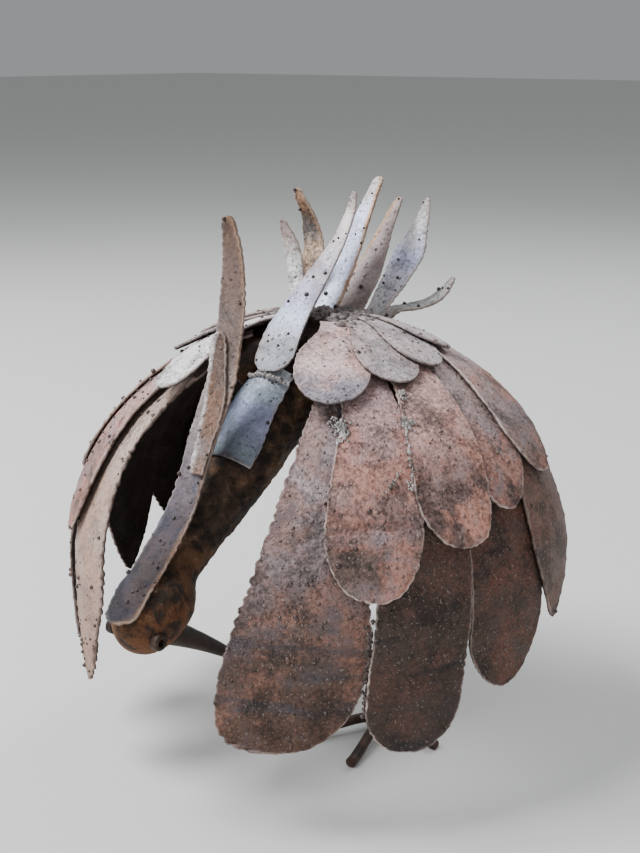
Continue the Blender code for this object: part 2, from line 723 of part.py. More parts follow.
def make_beak(head):
    """Tapered beak that points down and back, let into the head."""
    pitch = math.radians(BEAK_PITCH)
    direction = Vector((0, math.cos(pitch), -math.sin(pitch)))
    start = head_point(BEAK_AT) - head_normal() * head_radius(BEAK_AT) * BEAK_SEAT_DEPTH
    centres, radii = [], []
    for step in range(BEAK_STEPS + 1):
        share = step / BEAK_STEPS
        arch = Vector((0, 0, BEAK_ARCH * math.sin(math.pi * share)))
        centres.append(start + direction * BEAK_LENGTH * share + arch)
        radii.append(mix(BEAK_BASE_RADIUS, BEAK_TIP_RADIUS, share**BEAK_TAPER))
    make_tube("beak", centres, radii, BEAK_SIDES, "beak")
    grown = [radius + WELD_GAP for radius in radii[:BEAK_SEAT_RINGS]]
    inner = [centres[0] - direction * WELD_GAP] + centres[1:BEAK_SEAT_RINGS]
    add_boolean(head, make_tube("beak_seat", inner, grown, BEAK_SIDES, "crust", cutter=True), "DIFFERENCE")


def eye_centre(side):
    """Middle of an eye nut's inner face."""
    return head_point(EYE_AT) + Vector((side * (head_radius(EYE_AT) - EYE_SEAT), 0, 0))


def make_eye(head, side):
    """Nut with an open bore, let into the side of the head."""
    centre = eye_centre(side)
    outward = Vector((side, 0, 0))
    profile = ((EYE_RADIUS, 0), (EYE_RADIUS, EYE_THICKNESS), (EYE_BORE, EYE_THICKNESS), (EYE_BORE, 0))
    points = []
    for radius, out in profile:
        for step in range(EYE_SIDES):
            turn = 2 * math.pi * step / EYE_SIDES
            points.append(centre + outward * out + Vector((0, math.cos(turn), math.sin(turn))) * radius)
    faces = []
    for row in range(len(profile)):
        base, top = row * EYE_SIDES, (row + 1) % len(profile) * EYE_SIDES
        for step in range(EYE_SIDES):
            following = (step + 1) % EYE_SIDES
            faces.append((base + step, base + following, top + following, top + step))
    add_object("left_eye" if side > 0 else "right_eye", points, faces, "rod")
    reach = (EYE_RADIUS + WELD_GAP) / math.cos(math.pi / EYE_SIDES)
    ends = [centre - outward * WELD_GAP, centre + outward * EYE_THICKNESS * 2]
    axis = Vector((0, 1, 0))
    seat = make_tube("eye_seat_%d" % side, ends, [reach] * 2, EYE_SIDES, "crust", axis, cutter=True)
    add_boolean(head, seat, "DIFFERENCE")


def make_leg(body, side):
    """Leg rod with a flat-bottomed ankle weld, let into the body."""
    foot = Vector((side * FOOT_HALF_SPACING, FOOT_BACK, 0))
    hip_arc = math.hypot(HIP_HALF_SPACING, HIP_BACK)
    hip_level = shell_point(0, hip_arc, -BODY_DEPTH).z
    hip = Vector((side * HIP_HALF_SPACING, HIP_BACK, hip_level + HIP_SEAT))
    up = Vector((0, 0, 1))
    ankle_top = foot + up * ANKLE_TOP
    shoulder = mix(ANKLE_HEIGHT, ANKLE_TOP, 0.4)
    shin = mix(ankle_top, hip, 0.5) + Vector((side * LEG_BOW, LEG_BOW, 0))
    centres = [foot, foot + up * ANKLE_HEIGHT, foot + up * shoulder, ankle_top, shin, hip]
    radii = [ANKLE_RADIUS] * 2 + [mix(LEG_RADIUS, ANKLE_RADIUS, 0.6)] + [LEG_RADIUS] * 3
    rings = tube_rings(centres, radii, LEG_SIDES, Vector((1, 0, 0)))
    for row in (0, 1):
        rings[row] = [Vector((point.x, point.y, centres[row].z)) for point in rings[row]]
    points = [point for ring in rings for point in ring]
    name = "left_leg" if side > 0 else "right_leg"
    add_object(name, points, tube_faces(len(rings), LEG_SIDES), "rod")
    ends = [shin, hip + (hip - ankle_top).normalized() * WELD_GAP]
    socket = make_tube(name + "_socket", ends, [LEG_RADIUS + 2 * WELD_GAP] * 2, LEG_SIDES, "rod", cutter=True)
    add_boolean(body, socket, "DIFFERENCE")


def make_toe(name, side, outward, back):
    """Rod toe that leaves the ankle weld, arches a little and ends flat on the ground."""
    ankle = Vector((side * FOOT_HALF_SPACING, FOOT_BACK, 0))
    reach = Vector((side * outward, back, 0))
    start = reach.normalized() * (ANKLE_RADIUS + WELD_GAP)
    flat = TOE_RADIUS * math.cos(math.pi / TOE_SIDES)
    centres = []
    for share, lift in TOE_ARCH:
        centres.append(ankle + mix(start, reach, share) + Vector((0, 0, flat + TOE_RISE * lift)))
    side_axis = Vector((-reach.y, reach.x, 0)).normalized()
    label = ("left_" if side > 0 else "right_") + name
    make_tube(label, centres, [TOE_RADIUS] * len(centres), TOE_SIDES, "rod", side_axis)


def build():
    """Make every piece of the bird."""
    clear_scene()
    body = make_body_core()
    add_boolean(body, make_ridge(), "UNION")
    add_boolean(body, make_neck_socket(), "DIFFERENCE")
    for feather in FEATHERS:
        make_feather(feather, 1)
        make_feather(replace(feather, **RIGHT_CHANGES.get(feather.name, {})), -1)
    make_crest(body)
    make_crown_plumes()
    make_nape_plate()
    head = make_neck_and_head()
    make_beak(head)
    for side in (1, -1):
        make_eye(head, side)
        make_leg(body, side)
        for name, outward, back in TOES:
            make_toe(name, side, outward, back)


build()
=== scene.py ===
"""Looks of a welded steel bird: torch-cut feathers, tinted plumes, a crusted neck and weld spatter.

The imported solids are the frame. Each sheet, rod and mound is made again here on a finer mesh, in its
solid's own place, with ragged cut edges, dents, slag and rust, and the solid is then hidden.
Metres, +Z up. The bird faces -Y and its left wing is on +X.
"""
from __future__ import annotations

import json
import logging
import math
from dataclasses import dataclass, field, replace
from enum import Enum
from itertools import product
from typing import Iterable

import bmesh
import bpy
import numpy as np
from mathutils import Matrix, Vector

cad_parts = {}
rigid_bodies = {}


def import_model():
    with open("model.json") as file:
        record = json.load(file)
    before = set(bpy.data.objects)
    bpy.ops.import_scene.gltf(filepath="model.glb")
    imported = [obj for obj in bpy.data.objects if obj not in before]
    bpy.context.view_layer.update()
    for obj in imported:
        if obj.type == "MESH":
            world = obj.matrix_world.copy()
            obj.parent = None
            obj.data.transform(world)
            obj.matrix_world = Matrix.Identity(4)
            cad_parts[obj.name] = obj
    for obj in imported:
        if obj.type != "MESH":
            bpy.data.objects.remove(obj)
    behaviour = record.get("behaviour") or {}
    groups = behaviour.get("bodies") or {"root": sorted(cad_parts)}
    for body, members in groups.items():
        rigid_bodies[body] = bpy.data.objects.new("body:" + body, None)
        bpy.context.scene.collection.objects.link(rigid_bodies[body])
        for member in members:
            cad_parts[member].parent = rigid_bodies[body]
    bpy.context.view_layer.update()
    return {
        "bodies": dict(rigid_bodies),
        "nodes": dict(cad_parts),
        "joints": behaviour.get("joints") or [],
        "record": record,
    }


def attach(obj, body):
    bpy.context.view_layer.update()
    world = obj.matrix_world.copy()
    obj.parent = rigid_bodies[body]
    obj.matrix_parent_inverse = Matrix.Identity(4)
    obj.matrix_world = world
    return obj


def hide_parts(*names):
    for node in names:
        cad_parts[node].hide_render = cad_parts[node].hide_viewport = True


LOG = logging.getLogger("bird")

Array = np.ndarray
Colour = tuple[float, float, float]

SHEET = 0.0015
LAYER_PITCH = 0.0025
MM = 0.001


class Slot(Enum):
    """Material slots of the record."""

    WING = "wing_steel"
    COVERT = "covert_steel"
    CREST = "crest_steel"
    BLUED = "blued_steel"
    CRUST = "weld_crust"
    BEAK = "beak_steel"
    ROD = "rod_steel"
    EYE = "eye_nut"


class Side(Enum):
    """The bird's two sides, as the sign of X."""

    LEFT = 1
    RIGHT = -1


def smooth(share: Array) -> Array:
    """Ease in and out between 0 and 1."""
    share = np.clip(share, 0.0, 1.0)
    return share * share * (3 - 2 * share)


def mix(start: Array, end: Array, share: Array) -> Array:
    """Straight blend of two values."""
    return start + (end - start) * share


class Lumps:
    """Smooth random field in three dimensions that is the same on every run."""

    octave_shift = 0.37
    peak = 1.5

    def __init__(self, seed: int) -> None:
        """Fill the field's tables.

        Args:
            seed: number that picks the field.
        """
        random = np.random.default_rng(seed)
        self.order = random.permutation(256)
        self.values = random.uniform(-1, 1, 256)

    def at(self, points: Array, size: float) -> Array:
        """Read the field.

        Args:
            points: places, with X, Y and Z on the last axis.
            size: length of one lump in metres.

        Returns:
            A value from -1 to 1 for each place.
        """
        place = points / size
        cell = np.floor(place).astype(int)
        part = place - cell
        ease = part**3 * (part * (part * 6 - 15) + 10)
        total = np.zeros(points.shape[:-1])
        for corner in product((0, 1), repeat=3):
            index = (cell + corner) & 255
            key = self.order[index[..., 0]]
            key = self.order[(key + index[..., 1]) & 255]
            key = self.order[(key + index[..., 2]) & 255]
            weight = np.prod(np.where(corner, ease, 1 - ease), axis=-1)
            total += self.values[key] * weight
        return total

    def rough(self, points: Array, size: float, octaves: int) -> Array:
        """Read the field with finer lumps added.

        Args:
            points: places, with X, Y and Z on the last axis.
            size: length of the largest lump in metres.
            octaves: how many sizes are added, each half the one before.

        Returns:
            A value of about -1 to 1 for each place.
        """
        total = np.zeros(points.shape[:-1])
        for octave in range(octaves):
            total += self.at(points + octave * self.octave_shift, size / 2**octave) / 2**octave
        return total / self.peak

    def along(self, travel: Array, lane: float, size: float) -> Array:
        """Read the field on a line.

        Args:
            travel: distances along the line in metres.
            lane: which line is read, in metres.
            size: length of one lump in metres.

        Returns:
            A value from -1 to 1 for each distance.
        """
        places = np.stack([travel, np.full_like(travel, lane), np.zeros_like(travel)], axis=-1)
        return self.at(places, size)


DENTS = Lumps(3)
CRUST = Lumps(8)
TORCH = Lumps(21)


def curve_through(points: Array, shares: Array) -> Array:
    """Smooth curve through a row of points.

    Args:
        points: the points, one to a row.
        shares: places along the curve from 0 to 1, evenly shared among its spans.

    Returns:
        A point for each share.
    """
    spans = len(points) - 1
    place = np.clip(shares, 0, 1) * spans
    index = np.minimum(place.astype(int), spans - 1)
    part = (place - index)[..., None]
    padded = np.vstack([2 * points[0] - points[1], points, 2 * points[-1] - points[-2]])
    before, start, end, after = (padded[index + step] for step in range(4))
    rise = (end - before) / 2
    fall = (after - start) / 2
    return (start * (2 * part**3 - 3 * part**2 + 1) + rise * (part**3 - 2 * part**2 + part)
            + end * (3 * part**2 - 2 * part**3) + fall * (part**3 - part**2))


def unit(vectors: Array) -> Array:
    """Vectors of length one, on the last axis."""
    return vectors / np.maximum(np.linalg.norm(vectors, axis=-1, keepdims=True), 1e-12)


def direction_along(points: Array, shares: Array) -> Array:
    """Direction of the smooth curve through a row of points, at some shares of it."""
    step = 0.01
    return unit(curve_through(points, shares + step) - curve_through(points, shares - step))


def grid_faces(rows: int, columns: int) -> Array:
    """Vertex numbers of each face of a grid."""
    base = np.arange((rows - 1) * columns).reshape(rows - 1, columns)[:, :-1].ravel()
    return np.stack([base, base + 1, base + columns + 1, base + columns], axis=1)


def add_object(name: str, data: bpy.types.ID) -> bpy.types.Object:
    """Put an object with some data in the scene."""
    made = bpy.data.objects.new(name, data)
    bpy.context.scene.collection.objects.link(made)
    return made


@dataclass(frozen=True)
class Shell:
    """Rounded shell that the feathers lie on, as the solids have it."""

    axis_x: float = 0.0004
    axis_y: float = 0.0228
    radius: float = 0.138
    rise: float = 0.127
    waist: float = 0.107
    curl: float = 0.008
    turn: float = 6.0

    @property
    def crown(self) -> float:
        """Height of the crown above the ground."""
        return self.waist + self.rise

    @property
    def scale(self) -> float:
        """Mean radius of the upper shell."""
        return (self.radius + self.rise) / 2

    def profile(self, arc: Array) -> tuple[Array, Array, Array, Array]:
        """Radius and level of the shell at an arc, and its outward normal there."""
        angle = np.minimum(arc / self.scale, math.pi / 2)
        below = np.maximum(arc - self.scale * math.pi / 2, 0)
        over = below == 0
        drawn_in = self.curl * (below / self.waist) ** 2
        radius = np.where(over, self.radius * np.sin(angle), self.radius - drawn_in)
        level = np.where(over, self.waist + self.rise * np.cos(angle), self.waist - below)
        out = np.where(over, np.sin(angle) / self.radius, 1.0)
        up = np.where(over, np.cos(angle) / self.rise, 0.0)
        length = np.hypot(out, up)
        return radius, level, out / length, up / length

    def point(self, bearing: Array, arc: Array, height: Array) -> Array:
        """Place on or above the shell.

        Args:
            bearing: degrees round from straight ahead, towards the bird's left.
            arc: metres down from the crown.
            height: metres above the shell.

        Returns:
            Points in the row's frame.
        """
        radius, level, out, up = self.profile(arc)
        turn = np.radians(bearing)
        reach = radius + out * height
        x, y = reach * np.sin(turn), -reach * np.cos(turn)
        return np.stack(np.broadcast_arrays(x + self.axis_x, y + self.axis_y, level + up * height), axis=-1)


SHELL = Shell()


def from_crown(points: Iterable) -> tuple:
    """Points in the row's frame, from points in millimetres off the shell's crown."""
    return tuple((SHELL.axis_x + x * MM, SHELL.axis_y + y * MM, SHELL.crown + z * MM) for x, y, z in points)


@dataclass(frozen=True)
class TorchCut:
    """How the torch left a sheet's edge: scallops, slag and a rough rim.

    wave is a scallop's length, depth its depth, reach how far in its shape is felt, slag the height of
    the lip on the face, rim the bulge of the cut itself, and ragged how strong it all is on each side.
    """

    wave: float = 0.0050
    depth: float = 0.0007
    reach: float = 0.0035
    slag: float = 0.00045
    rim: float = 0.0003
    ragged: tuple[float, float] = (1.0, 1.0)

    def jag(self, travel: Array, lane: float) -> Array:
        """How far the edge stands out, along one side of a sheet."""
        warped = travel + self.wave * 0.45 * TORCH.along(travel, lane, self.wave * 2.2)
        scallop = np.abs(np.sin(math.pi * warped / self.wave)) ** 0.7 - 0.65
        strength = 0.75 + 0.6 * TORCH.along(travel, lane + 0.31, self.wave * 3.1)
        wander = TORCH.along(travel, lane + 0.62, self.wave * 4.0)
        grain = TORCH.along(travel, lane + 0.93, self.wave * 0.28)
        return self.depth * (scallop * strength + 0.8 * wander + 0.3 * grain)

    def lip(self, travel: Array, lane: float) -> Array:
        """Height of the slag lip along one side of a sheet."""
        lumps = TORCH.along(travel, lane + 1.3, self.wave * 0.45)
        return self.slag * np.clip(0.35 + 0.9 * lumps, 0, None)


class Piece:
    """Anything that ends as one finished mesh object."""

    @staticmethod
    def finish_object(name: str, points: Array, faces: list, finish: Finish, slot: Slot) -> bpy.types.Object:
        """Make a mesh object with its faces outwards and its finish on.

        Args:
            name: the object's name.
            points: one row for each vertex.
            faces: vertex numbers of each face.
            finish: the finish that it wears.
            slot: the record's material slot that the finish stands for.

        Returns:
            The object, at the origin, riding on the row's one body.
        """
        mesh = bpy.data.meshes.new(name)
        mesh.from_pydata(points.reshape(-1, 3).tolist(), [], faces)
        mesh.update()
        if Piece.signed_volume(mesh) < 0:
            mesh.flip_normals()
        mesh.shade_smooth()
        made = add_object(name, mesh)
        return Piece.dress(made, finish, slot)

    @staticmethod
    def dress(made: bpy.types.Object, finish: Finish, slot: Slot) -> bpy.types.Object:
        """Give an object its finish and its body; the slot is not used."""
        made.data.materials.clear()
        made.data.materials.append(finish.material())
        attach(made, "root")
        LOG.info("%s: %d vertices, %s", made.name, len(made.data.vertices), finish.name)
        return made

    @staticmethod
    def signed_volume(mesh: bpy.types.Mesh) -> float:
        """Volume that a closed mesh holds, negative when its faces point inwards."""
        mesh.calc_loop_triangles()
        count = len(mesh.loop_triangles)
        corners = np.empty(count * 3, dtype=np.int32)
        mesh.loop_triangles.foreach_get("vertices", corners)
        points = np.empty(len(mesh.vertices) * 3)
        mesh.vertices.foreach_get("co", points)
        a, b, c = points.reshape(-1, 3)[corners.reshape(-1, 3)].transpose(1, 0, 2)
        return float(np.einsum("ij,ij->i", a, np.cross(b, c)).sum() / 6)

    @staticmethod
    def mark(made: bpy.types.Object, name: str, values: Array) -> None:
        """Store one number for each vertex of an object."""
        layer = made.data.attributes.new(name, "FLOAT", "POINT")
        layer.data.foreach_set("value", np.ascontiguousarray(values, dtype=np.float32).ravel())


class Sheet(Piece):
    """Closed sheet on a fine grid, cut out with a torch and slightly beaten."""

    spacing = 0.0013
    edge_crowding = 1.5
    column_limits = (8, 56)
    least_half_width = 0.0004
    lane_pitch = 0.173
    right_lane = 5
    rim_lane = 9
    rim_wave = 0.003
    slag_reach = 0.0010
    slag_under = 0.6
    # Share of the underside's painted shade that the cut rim takes.
    rim_under = 0.3
    dent_waves = ((0.00050, 0.036), (0.00022, 0.013), (0.00007, 0.0045))

    def __init__(self, name: str, finish: Finish, slot: Slot, cut: TorchCut, seed: int) -> None:
        """Keep what every sheet has.

        Args:
            name: the solid's name, without the ending of the fine piece.
            finish: the finish that it wears.
            slot: the record's material slot.
            cut: how its edge was cut.
            seed: number that picks its own edge.
        """
        self.name, self.finish, self.slot, self.cut, self.seed = name, finish, slot, cut, seed
        self.upper = self.run = self.inset = np.empty(0)

    def stations(self) -> Array:
        """Distances along the sheet at which it has a row of points."""
        raise NotImplementedError

    def half_widths(self, stations: Array) -> Array:
        """Half of the sheet's width at each distance."""
        raise NotImplementedError

    def place(self, along: Array, across: Array, height: Array) -> Array:
        """Points in the row's frame for distances along, across and above the sheet."""
        raise NotImplementedError

    def shift(self, stations: Array) -> Array:
        """How far the sheet's middle is set sideways at each distance."""
        return np.zeros_like(stations)

    def dents(self, points: Array, along: Array) -> Array:
        """Height of the beaten surface. Neighbours read one field, so they stay clear of each other."""
        return sum(height * DENTS.at(points, size) for height, size in self.dent_waves)

    def column_shares(self, widest: float) -> Array:
        """Shares of the half width at the grid's columns, closer together at the two edges."""
        columns = int(np.clip(round(2 * widest / self.spacing), *self.column_limits)) + 1
        evenly = np.linspace(-1, 1, columns)
        return np.sign(evenly) * (1 - (1 - np.abs(evenly)) ** self.edge_crowding)

    def torch_work(self, stations: Array, half: Array, share: Array, inward: Array) -> tuple[Array, Array]:
        """Work out what the torch left along the edges.

        Args:
            stations: distance along at each row.
            half: half width at each row.
            share: share of the half width at each column.
            inward: distance in from the nearer long edge, over the grid.

        Returns:
            How far the grid is pushed outwards, and the height of the slag on it.
        """
        cut, lane = self.cut, self.seed * self.lane_pitch
        travel = np.concatenate([[0], np.cumsum(np.hypot(np.diff(stations), np.diff(half)))])
        on_right = smooth(share + 0.5)[None, :]
        strength = mix(cut.ragged[0], cut.ragged[1], on_right)
        jag, lip = (mix(read(travel, lane)[:, None], read(travel, lane + self.right_lane)[:, None], on_right)
                    for read in (cut.jag, cut.lip))
        push = jag * strength * np.exp(-((inward / cut.reach) ** 2))
        slag = lip * strength * np.exp(-((inward / self.slag_reach) ** 2))
        return push, slag

    def rim_bulge(self, count: int) -> Array:
        """How far the cut itself bulges at each point of the rim."""
        travel = np.arange(count) * self.spacing
        lumps = TORCH.along(travel, self.seed * self.lane_pitch + self.rim_lane, self.rim_wave)
        return self.cut.rim * (0.6 + 0.7 * lumps)

    def build(self) -> bpy.types.Object:
        """Make the sheet and hide its solid.

        Returns:
            The finished object.
        """
        stations = self.stations()
        half = np.maximum(self.half_widths(stations), self.least_half_width)
        share = self.column_shares(half.max())
        slope = np.gradient(half, stations)
        out_across = 1 / np.sqrt(1 + slope**2)
        out_along = -slope * out_across
        inward = (1 - np.abs(share))[None, :] * (half * out_across)[:, None]
        push, slag = self.torch_work(stations, half, share, inward)
        outward = np.clip(share * 3, -1, 1)[None, :] * out_across[:, None]
        along = stations[:, None] + out_along[:, None] * push
        across = half[:, None] * share[None, :] + self.shift(stations)[:, None] + outward * push
        beaten = self.dents(self.place(along, across, np.zeros_like(along)), along)
        top = self.place(along, across, beaten + SHEET / 2 + slag)
        under = self.place(along, across, beaten - SHEET / 2 - slag * self.slag_under)
        rim = self.rim_of(*along.shape)
        rim_rows, rim_columns = rim.T
        on_rim = (rim_rows, rim_columns)
        bulge = self.rim_bulge(len(rim))
        step_across = np.sign(share)[rim_columns] * np.abs(outward[on_rim])
        step_along = np.where(rim_rows == 0, -1.0, out_along[rim_rows])
        middle = self.place(along[on_rim] + step_along * bulge, across[on_rim] + step_across * bulge,
                            beaten[on_rim])
        points = np.concatenate([top.reshape(-1, 3), under.reshape(-1, 3), middle])
        faces = self.faces(*along.shape, rim)
        made = self.finish_object(self.name + "_cut", points, faces, self.finish, self.slot)
        rows = np.broadcast_to(stations[:, None], along.shape)
        self.upper = top
        self.inset = np.minimum(inward, stations[-1] - stations[:, None]) / MM
        self.run = (rows - stations[0]) / (stations[-1] - stations[0])
        self.mark_all(made, np.broadcast_to(share[None, :], along.shape), on_rim)
        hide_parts(self.name)
        return made

    def mark_all(self, made: bpy.types.Object, side: Array, on_rim: tuple[Array, Array]) -> None:
        """Store what the finishes read: millimetres in from the edge, place along, side, and underside, where
        painted shade is laid.
        """
        rim_inset = np.zeros(len(on_rim[0]))
        rim_under = np.full(len(on_rim[0]), self.rim_under)
        self.mark(made, "inset", np.concatenate([self.inset.ravel(), self.inset.ravel(), rim_inset]))
        self.mark(made, "along", np.concatenate([self.run.ravel(), self.run.ravel(), self.run[on_rim]]))
        self.mark(made, "side", np.concatenate([side.ravel(), side.ravel(), side[on_rim]]))
        self.mark(made, "under", np.concatenate([np.zeros(side.size), np.ones(side.size), rim_under]))

    @staticmethod
    def rim_of(rows: int, columns: int) -> Array:
        """Rows and columns of the points round a grid's rim, in order."""
        walk = [(0, column) for column in range(columns)]
        walk += [(row, columns - 1) for row in range(1, rows)]
        walk += [(rows - 1, column) for column in range(columns - 2, -1, -1)]
        walk += [(row, 0) for row in range(rows - 2, 0, -1)]
        return np.array(walk)

    @staticmethod
    def faces(rows: int, columns: int, rim: Array) -> list:
        """Faces of the two grids and of the rim between them."""
        quads = grid_faces(rows, columns)
        count = rows * columns
        top_rim = rim[:, 0] * columns + rim[:, 1]
        ring = 2 * count + np.arange(len(rim))
        upper = np.stack([np.roll(top_rim, -1), top_rim, ring, np.roll(ring, -1)], axis=1)
        lower = np.stack([np.roll(ring, -1), ring, top_rim + count, np.roll(top_rim, -1) + count], axis=1)
        return np.concatenate([quads, quads[:, ::-1] + count, upper, lower]).tolist()


@dataclass(frozen=True)
class FeatherPlan:
    """One feather: bearings in degrees from the wing's own front, lengths in metres."""

    name: str
    root_bearing: float
    tip_bearing: float
    root_arc: float
    tip_arc: float
    root_width: float
    width: float
    belly: float
    tip_length: float
    tip_power: float
    lean: float = 0.0
    front_layer: float = 0.0
    rear_layer: float = 0.0


@dataclass(frozen=True)
class Crease:
    """Crease across a feather: how far along it lies, its half width and its height, in metres."""

    along: float
    width: float
    height: float


class Feather(Sheet):
    """Sheet feather that lies on the shell."""

    creases = {"left_median_1": Crease(0.1155, 0.0015, -0.0014),
               "left_covert_2": Crease(0.030, 0.0009, 0.0008)}
    crease_wander = 0.002
    crease_wave = 0.02
    fan_power = 1.5
    last_angle = math.radians(78)
    corner = 0.0035
    corner_loss = 0.72
    least_radius = 0.004

    def __init__(self, plan: FeatherPlan, side: Side, finish: Finish, slot: Slot, cut: TorchCut,
                 seed: int) -> None:
        """Keep the feather's plan and side, with what every sheet has."""
        super().__init__(f"{side.name.lower()}_{plan.name}", finish, slot, cut, seed)
        self.plan, self.side = plan, side
        self.length = plan.tip_arc - plan.root_arc

    def dents(self, points: Array, along: Array) -> Array:
        """Beaten surface, with a crease across the feathers that have one."""
        crease = self.creases.get(self.name)
        if crease is None:
            return super().dents(points, along)
        wavy = along - crease.along - self.crease_wander * TORCH.at(points, self.crease_wave)
        return super().dents(points, along) + crease.height * np.exp(-((wavy / crease.width) ** 2))

    def stations(self) -> Array:
        """Even rows over the blade, then rows at even angles round the tip."""
        blade = self.length - self.plan.tip_length
        rows = np.linspace(0, blade, max(int(blade / self.spacing), 4), endpoint=False)
        count = max(int(self.plan.tip_length / self.spacing * 1.1), 8)
        angles = np.linspace(0, self.last_angle, count)
        tip = blade + self.plan.tip_length * np.sin(angles) / math.sin(self.last_angle)
        return np.concatenate([rows, tip])

    def half_widths(self, stations: Array) -> Array:
        """Half widths of a blade that swells to its belly and closes in a rounded tip."""
        plan = self.plan
        share = stations / self.length
        width = mix(plan.root_width, plan.width, smooth(share / plan.belly))
        bend = self.length - plan.tip_length
        closing = np.clip((stations - bend) / plan.tip_length, 0, 1) * math.sin(self.last_angle)
        width = width * (1 - closing**plan.tip_power) ** (1 / plan.tip_power)
        rounding = np.clip((stations - self.length + self.corner) / self.corner, 0, 1)
        return width / 2 * np.sqrt(1 - self.corner_loss * rounding**2)

    def shift(self, stations: Array) -> Array:
        """Sideways set of a leaning tip."""
        bend = self.length - self.plan.tip_length
        return self.plan.lean * np.clip((stations - bend) / self.plan.tip_length, 0, 1) ** 2

    def place(self, along: Array, across: Array, height: Array) -> Array:
        """Points of the feather on the shell."""
        plan = self.plan
        arc = plan.root_arc + along
        share = np.clip(along / self.length, 0, 1)
        middle = mix(plan.tip_bearing, plan.root_bearing, (1 - share) ** self.fan_power)
        radius = np.maximum(SHELL.profile(arc)[0], self.least_radius)
        bearing = middle + np.degrees(across / radius)
        layer = mix(plan.front_layer, plan.rear_layer, np.clip(across / plan.width + 0.5, 0, 1))
        turned = SHELL.turn + self.side.value * bearing
        return SHELL.point(turned, arc, layer * LAYER_PITCH + height)


@dataclass(frozen=True)
class PlumePlan:
    """One plume: points of its middle line in metres, its widths at them and how it is bent across."""

    name: str
    points: tuple
    widths: tuple
    side: tuple
    dishes: tuple
    round_foot: bool = False


class Plume(Sheet):
    """Bent strip that follows a curve."""

    table = 240
    end_rows = 6
    end_reach = 0.004
    ease_steps = (-0.04, 0, 0.04)
    end_loss = 0.90
    foot_loss = 0.93

    def __init__(self, plan: PlumePlan, finish: Finish, slot: Slot, cut: TorchCut, seed: int) -> None:
        """Work out the strip's middle line and its directions."""
        super().__init__(plan.name, finish, slot, cut, seed)
        self.plan = plan
        shares = np.linspace(0, 1, self.table)
        points = np.array(plan.points, dtype=float)
        self.centres = curve_through(points, shares)
        tangents = direction_along(points, shares)
        side = unit(np.array(plan.side, dtype=float))
        self.acrosses = unit(side - tangents * (tangents @ side)[:, None])
        normals = unit(np.cross(self.acrosses, tangents))
        self.normals = np.where(normals[:, 1:2] > 0, -normals, normals)
        steps = np.linalg.norm(np.diff(self.centres, axis=0), axis=1)
        self.travel = np.concatenate([[0], np.cumsum(steps)])
        self.shares = shares

    def stations(self) -> Array:
        """Even rows, closer together at the two ends."""
        count = max(int(self.travel[-1] / self.spacing), 12)
        ends = np.linspace(0, self.end_reach, self.end_rows, endpoint=False)
        middle = np.linspace(self.end_reach, self.travel[-1] - self.end_reach, count)
        return np.concatenate([ends, middle, self.travel[-1] - ends[::-1]])

    def half_widths(self, stations: Array) -> Array:
        """Half widths, eased between the plan's widths and rounded off at the free end."""
        share = np.interp(stations, self.travel, self.shares)
        knots = np.linspace(0, 1, len(self.plan.widths))
        eased = [np.interp(np.clip(share + step, 0, 1), knots, self.plan.widths)
                 for step in self.ease_steps]
        half = sum(eased) / (2 * len(eased))
        end = half[-1] * 1.3
        rounding = np.clip((stations - self.travel[-1] + end) / end, 0, 1)
        half = half * np.sqrt(1 - self.end_loss * rounding**2)
        if self.plan.round_foot:
            foot = half[0] * 0.9
            half = half * np.sqrt(1 - self.foot_loss * np.clip((foot - stations) / foot, 0, 1) ** 2)
        return half

    def place(self, along: Array, across: Array, height: Array) -> Array:
        """Points of the strip, bent across its width."""
        def read(values: Array) -> Array:
            """Read a table of vectors at each distance along."""
            return np.stack([np.interp(along, self.travel, values[:, axis]) for axis in range(3)], axis=-1)

        share = np.interp(along, self.travel, self.shares)
        dish = np.interp(share, np.linspace(0, 1, len(self.plan.dishes)), self.plan.dishes)
        turn = across / dish
        reach = dish + height
        return (read(self.centres) + read(self.acrosses) * (reach * np.sin(turn))[..., None]
                + read(self.normals) * (reach * np.cos(turn) - dish)[..., None])


class Sock:
    """Output of a node, which Python's operators join to others with Math nodes."""

    def __init__(self, graph: Graph, socket: bpy.types.NodeSocket) -> None:
        """Keep the output and the graph that it belongs to."""
        self.graph, self.socket = graph, socket

    def math(self, operation: str, first: object, second: object) -> Sock:
        """Join two values with a Math node."""
        return self.graph.out("ShaderNodeMath", 0, {"operation": operation}, {0: first, 1: second})

    def __add__(self, other: object) -> Sock:
        """Sum."""
        return self.math("ADD", self, other)

    __radd__ = __add__

    def __mul__(self, other: object) -> Sock:
        """Product."""
        return self.math("MULTIPLY", self, other)

    __rmul__ = __mul__

    def __sub__(self, other: object) -> Sock:
        """Difference."""
        return self.math("SUBTRACT", self, other)

    def __rsub__(self, other: object) -> Sock:
        """Difference from a number."""
        return self.math("SUBTRACT", other, self)

    def __pow__(self, other: object) -> Sock:
        """Power."""
        return self.math("POWER", self, other)

    def over(self, low: float, high: float) -> Sock:
        """Rise smoothly from 0 at one value to 1 at another."""
        inputs = {"Value": self, 1: low, 2: high, 3: 0.0, 4: 1.0}
        return self.graph.out("ShaderNodeMapRange", 0, {"interpolation_type": "SMOOTHSTEP"}, inputs)

    def between(self, low: object, high: object) -> Sock:
        """Spread 0 to 1 over another range."""
        return self.math("ADD", self * (high - low), low)


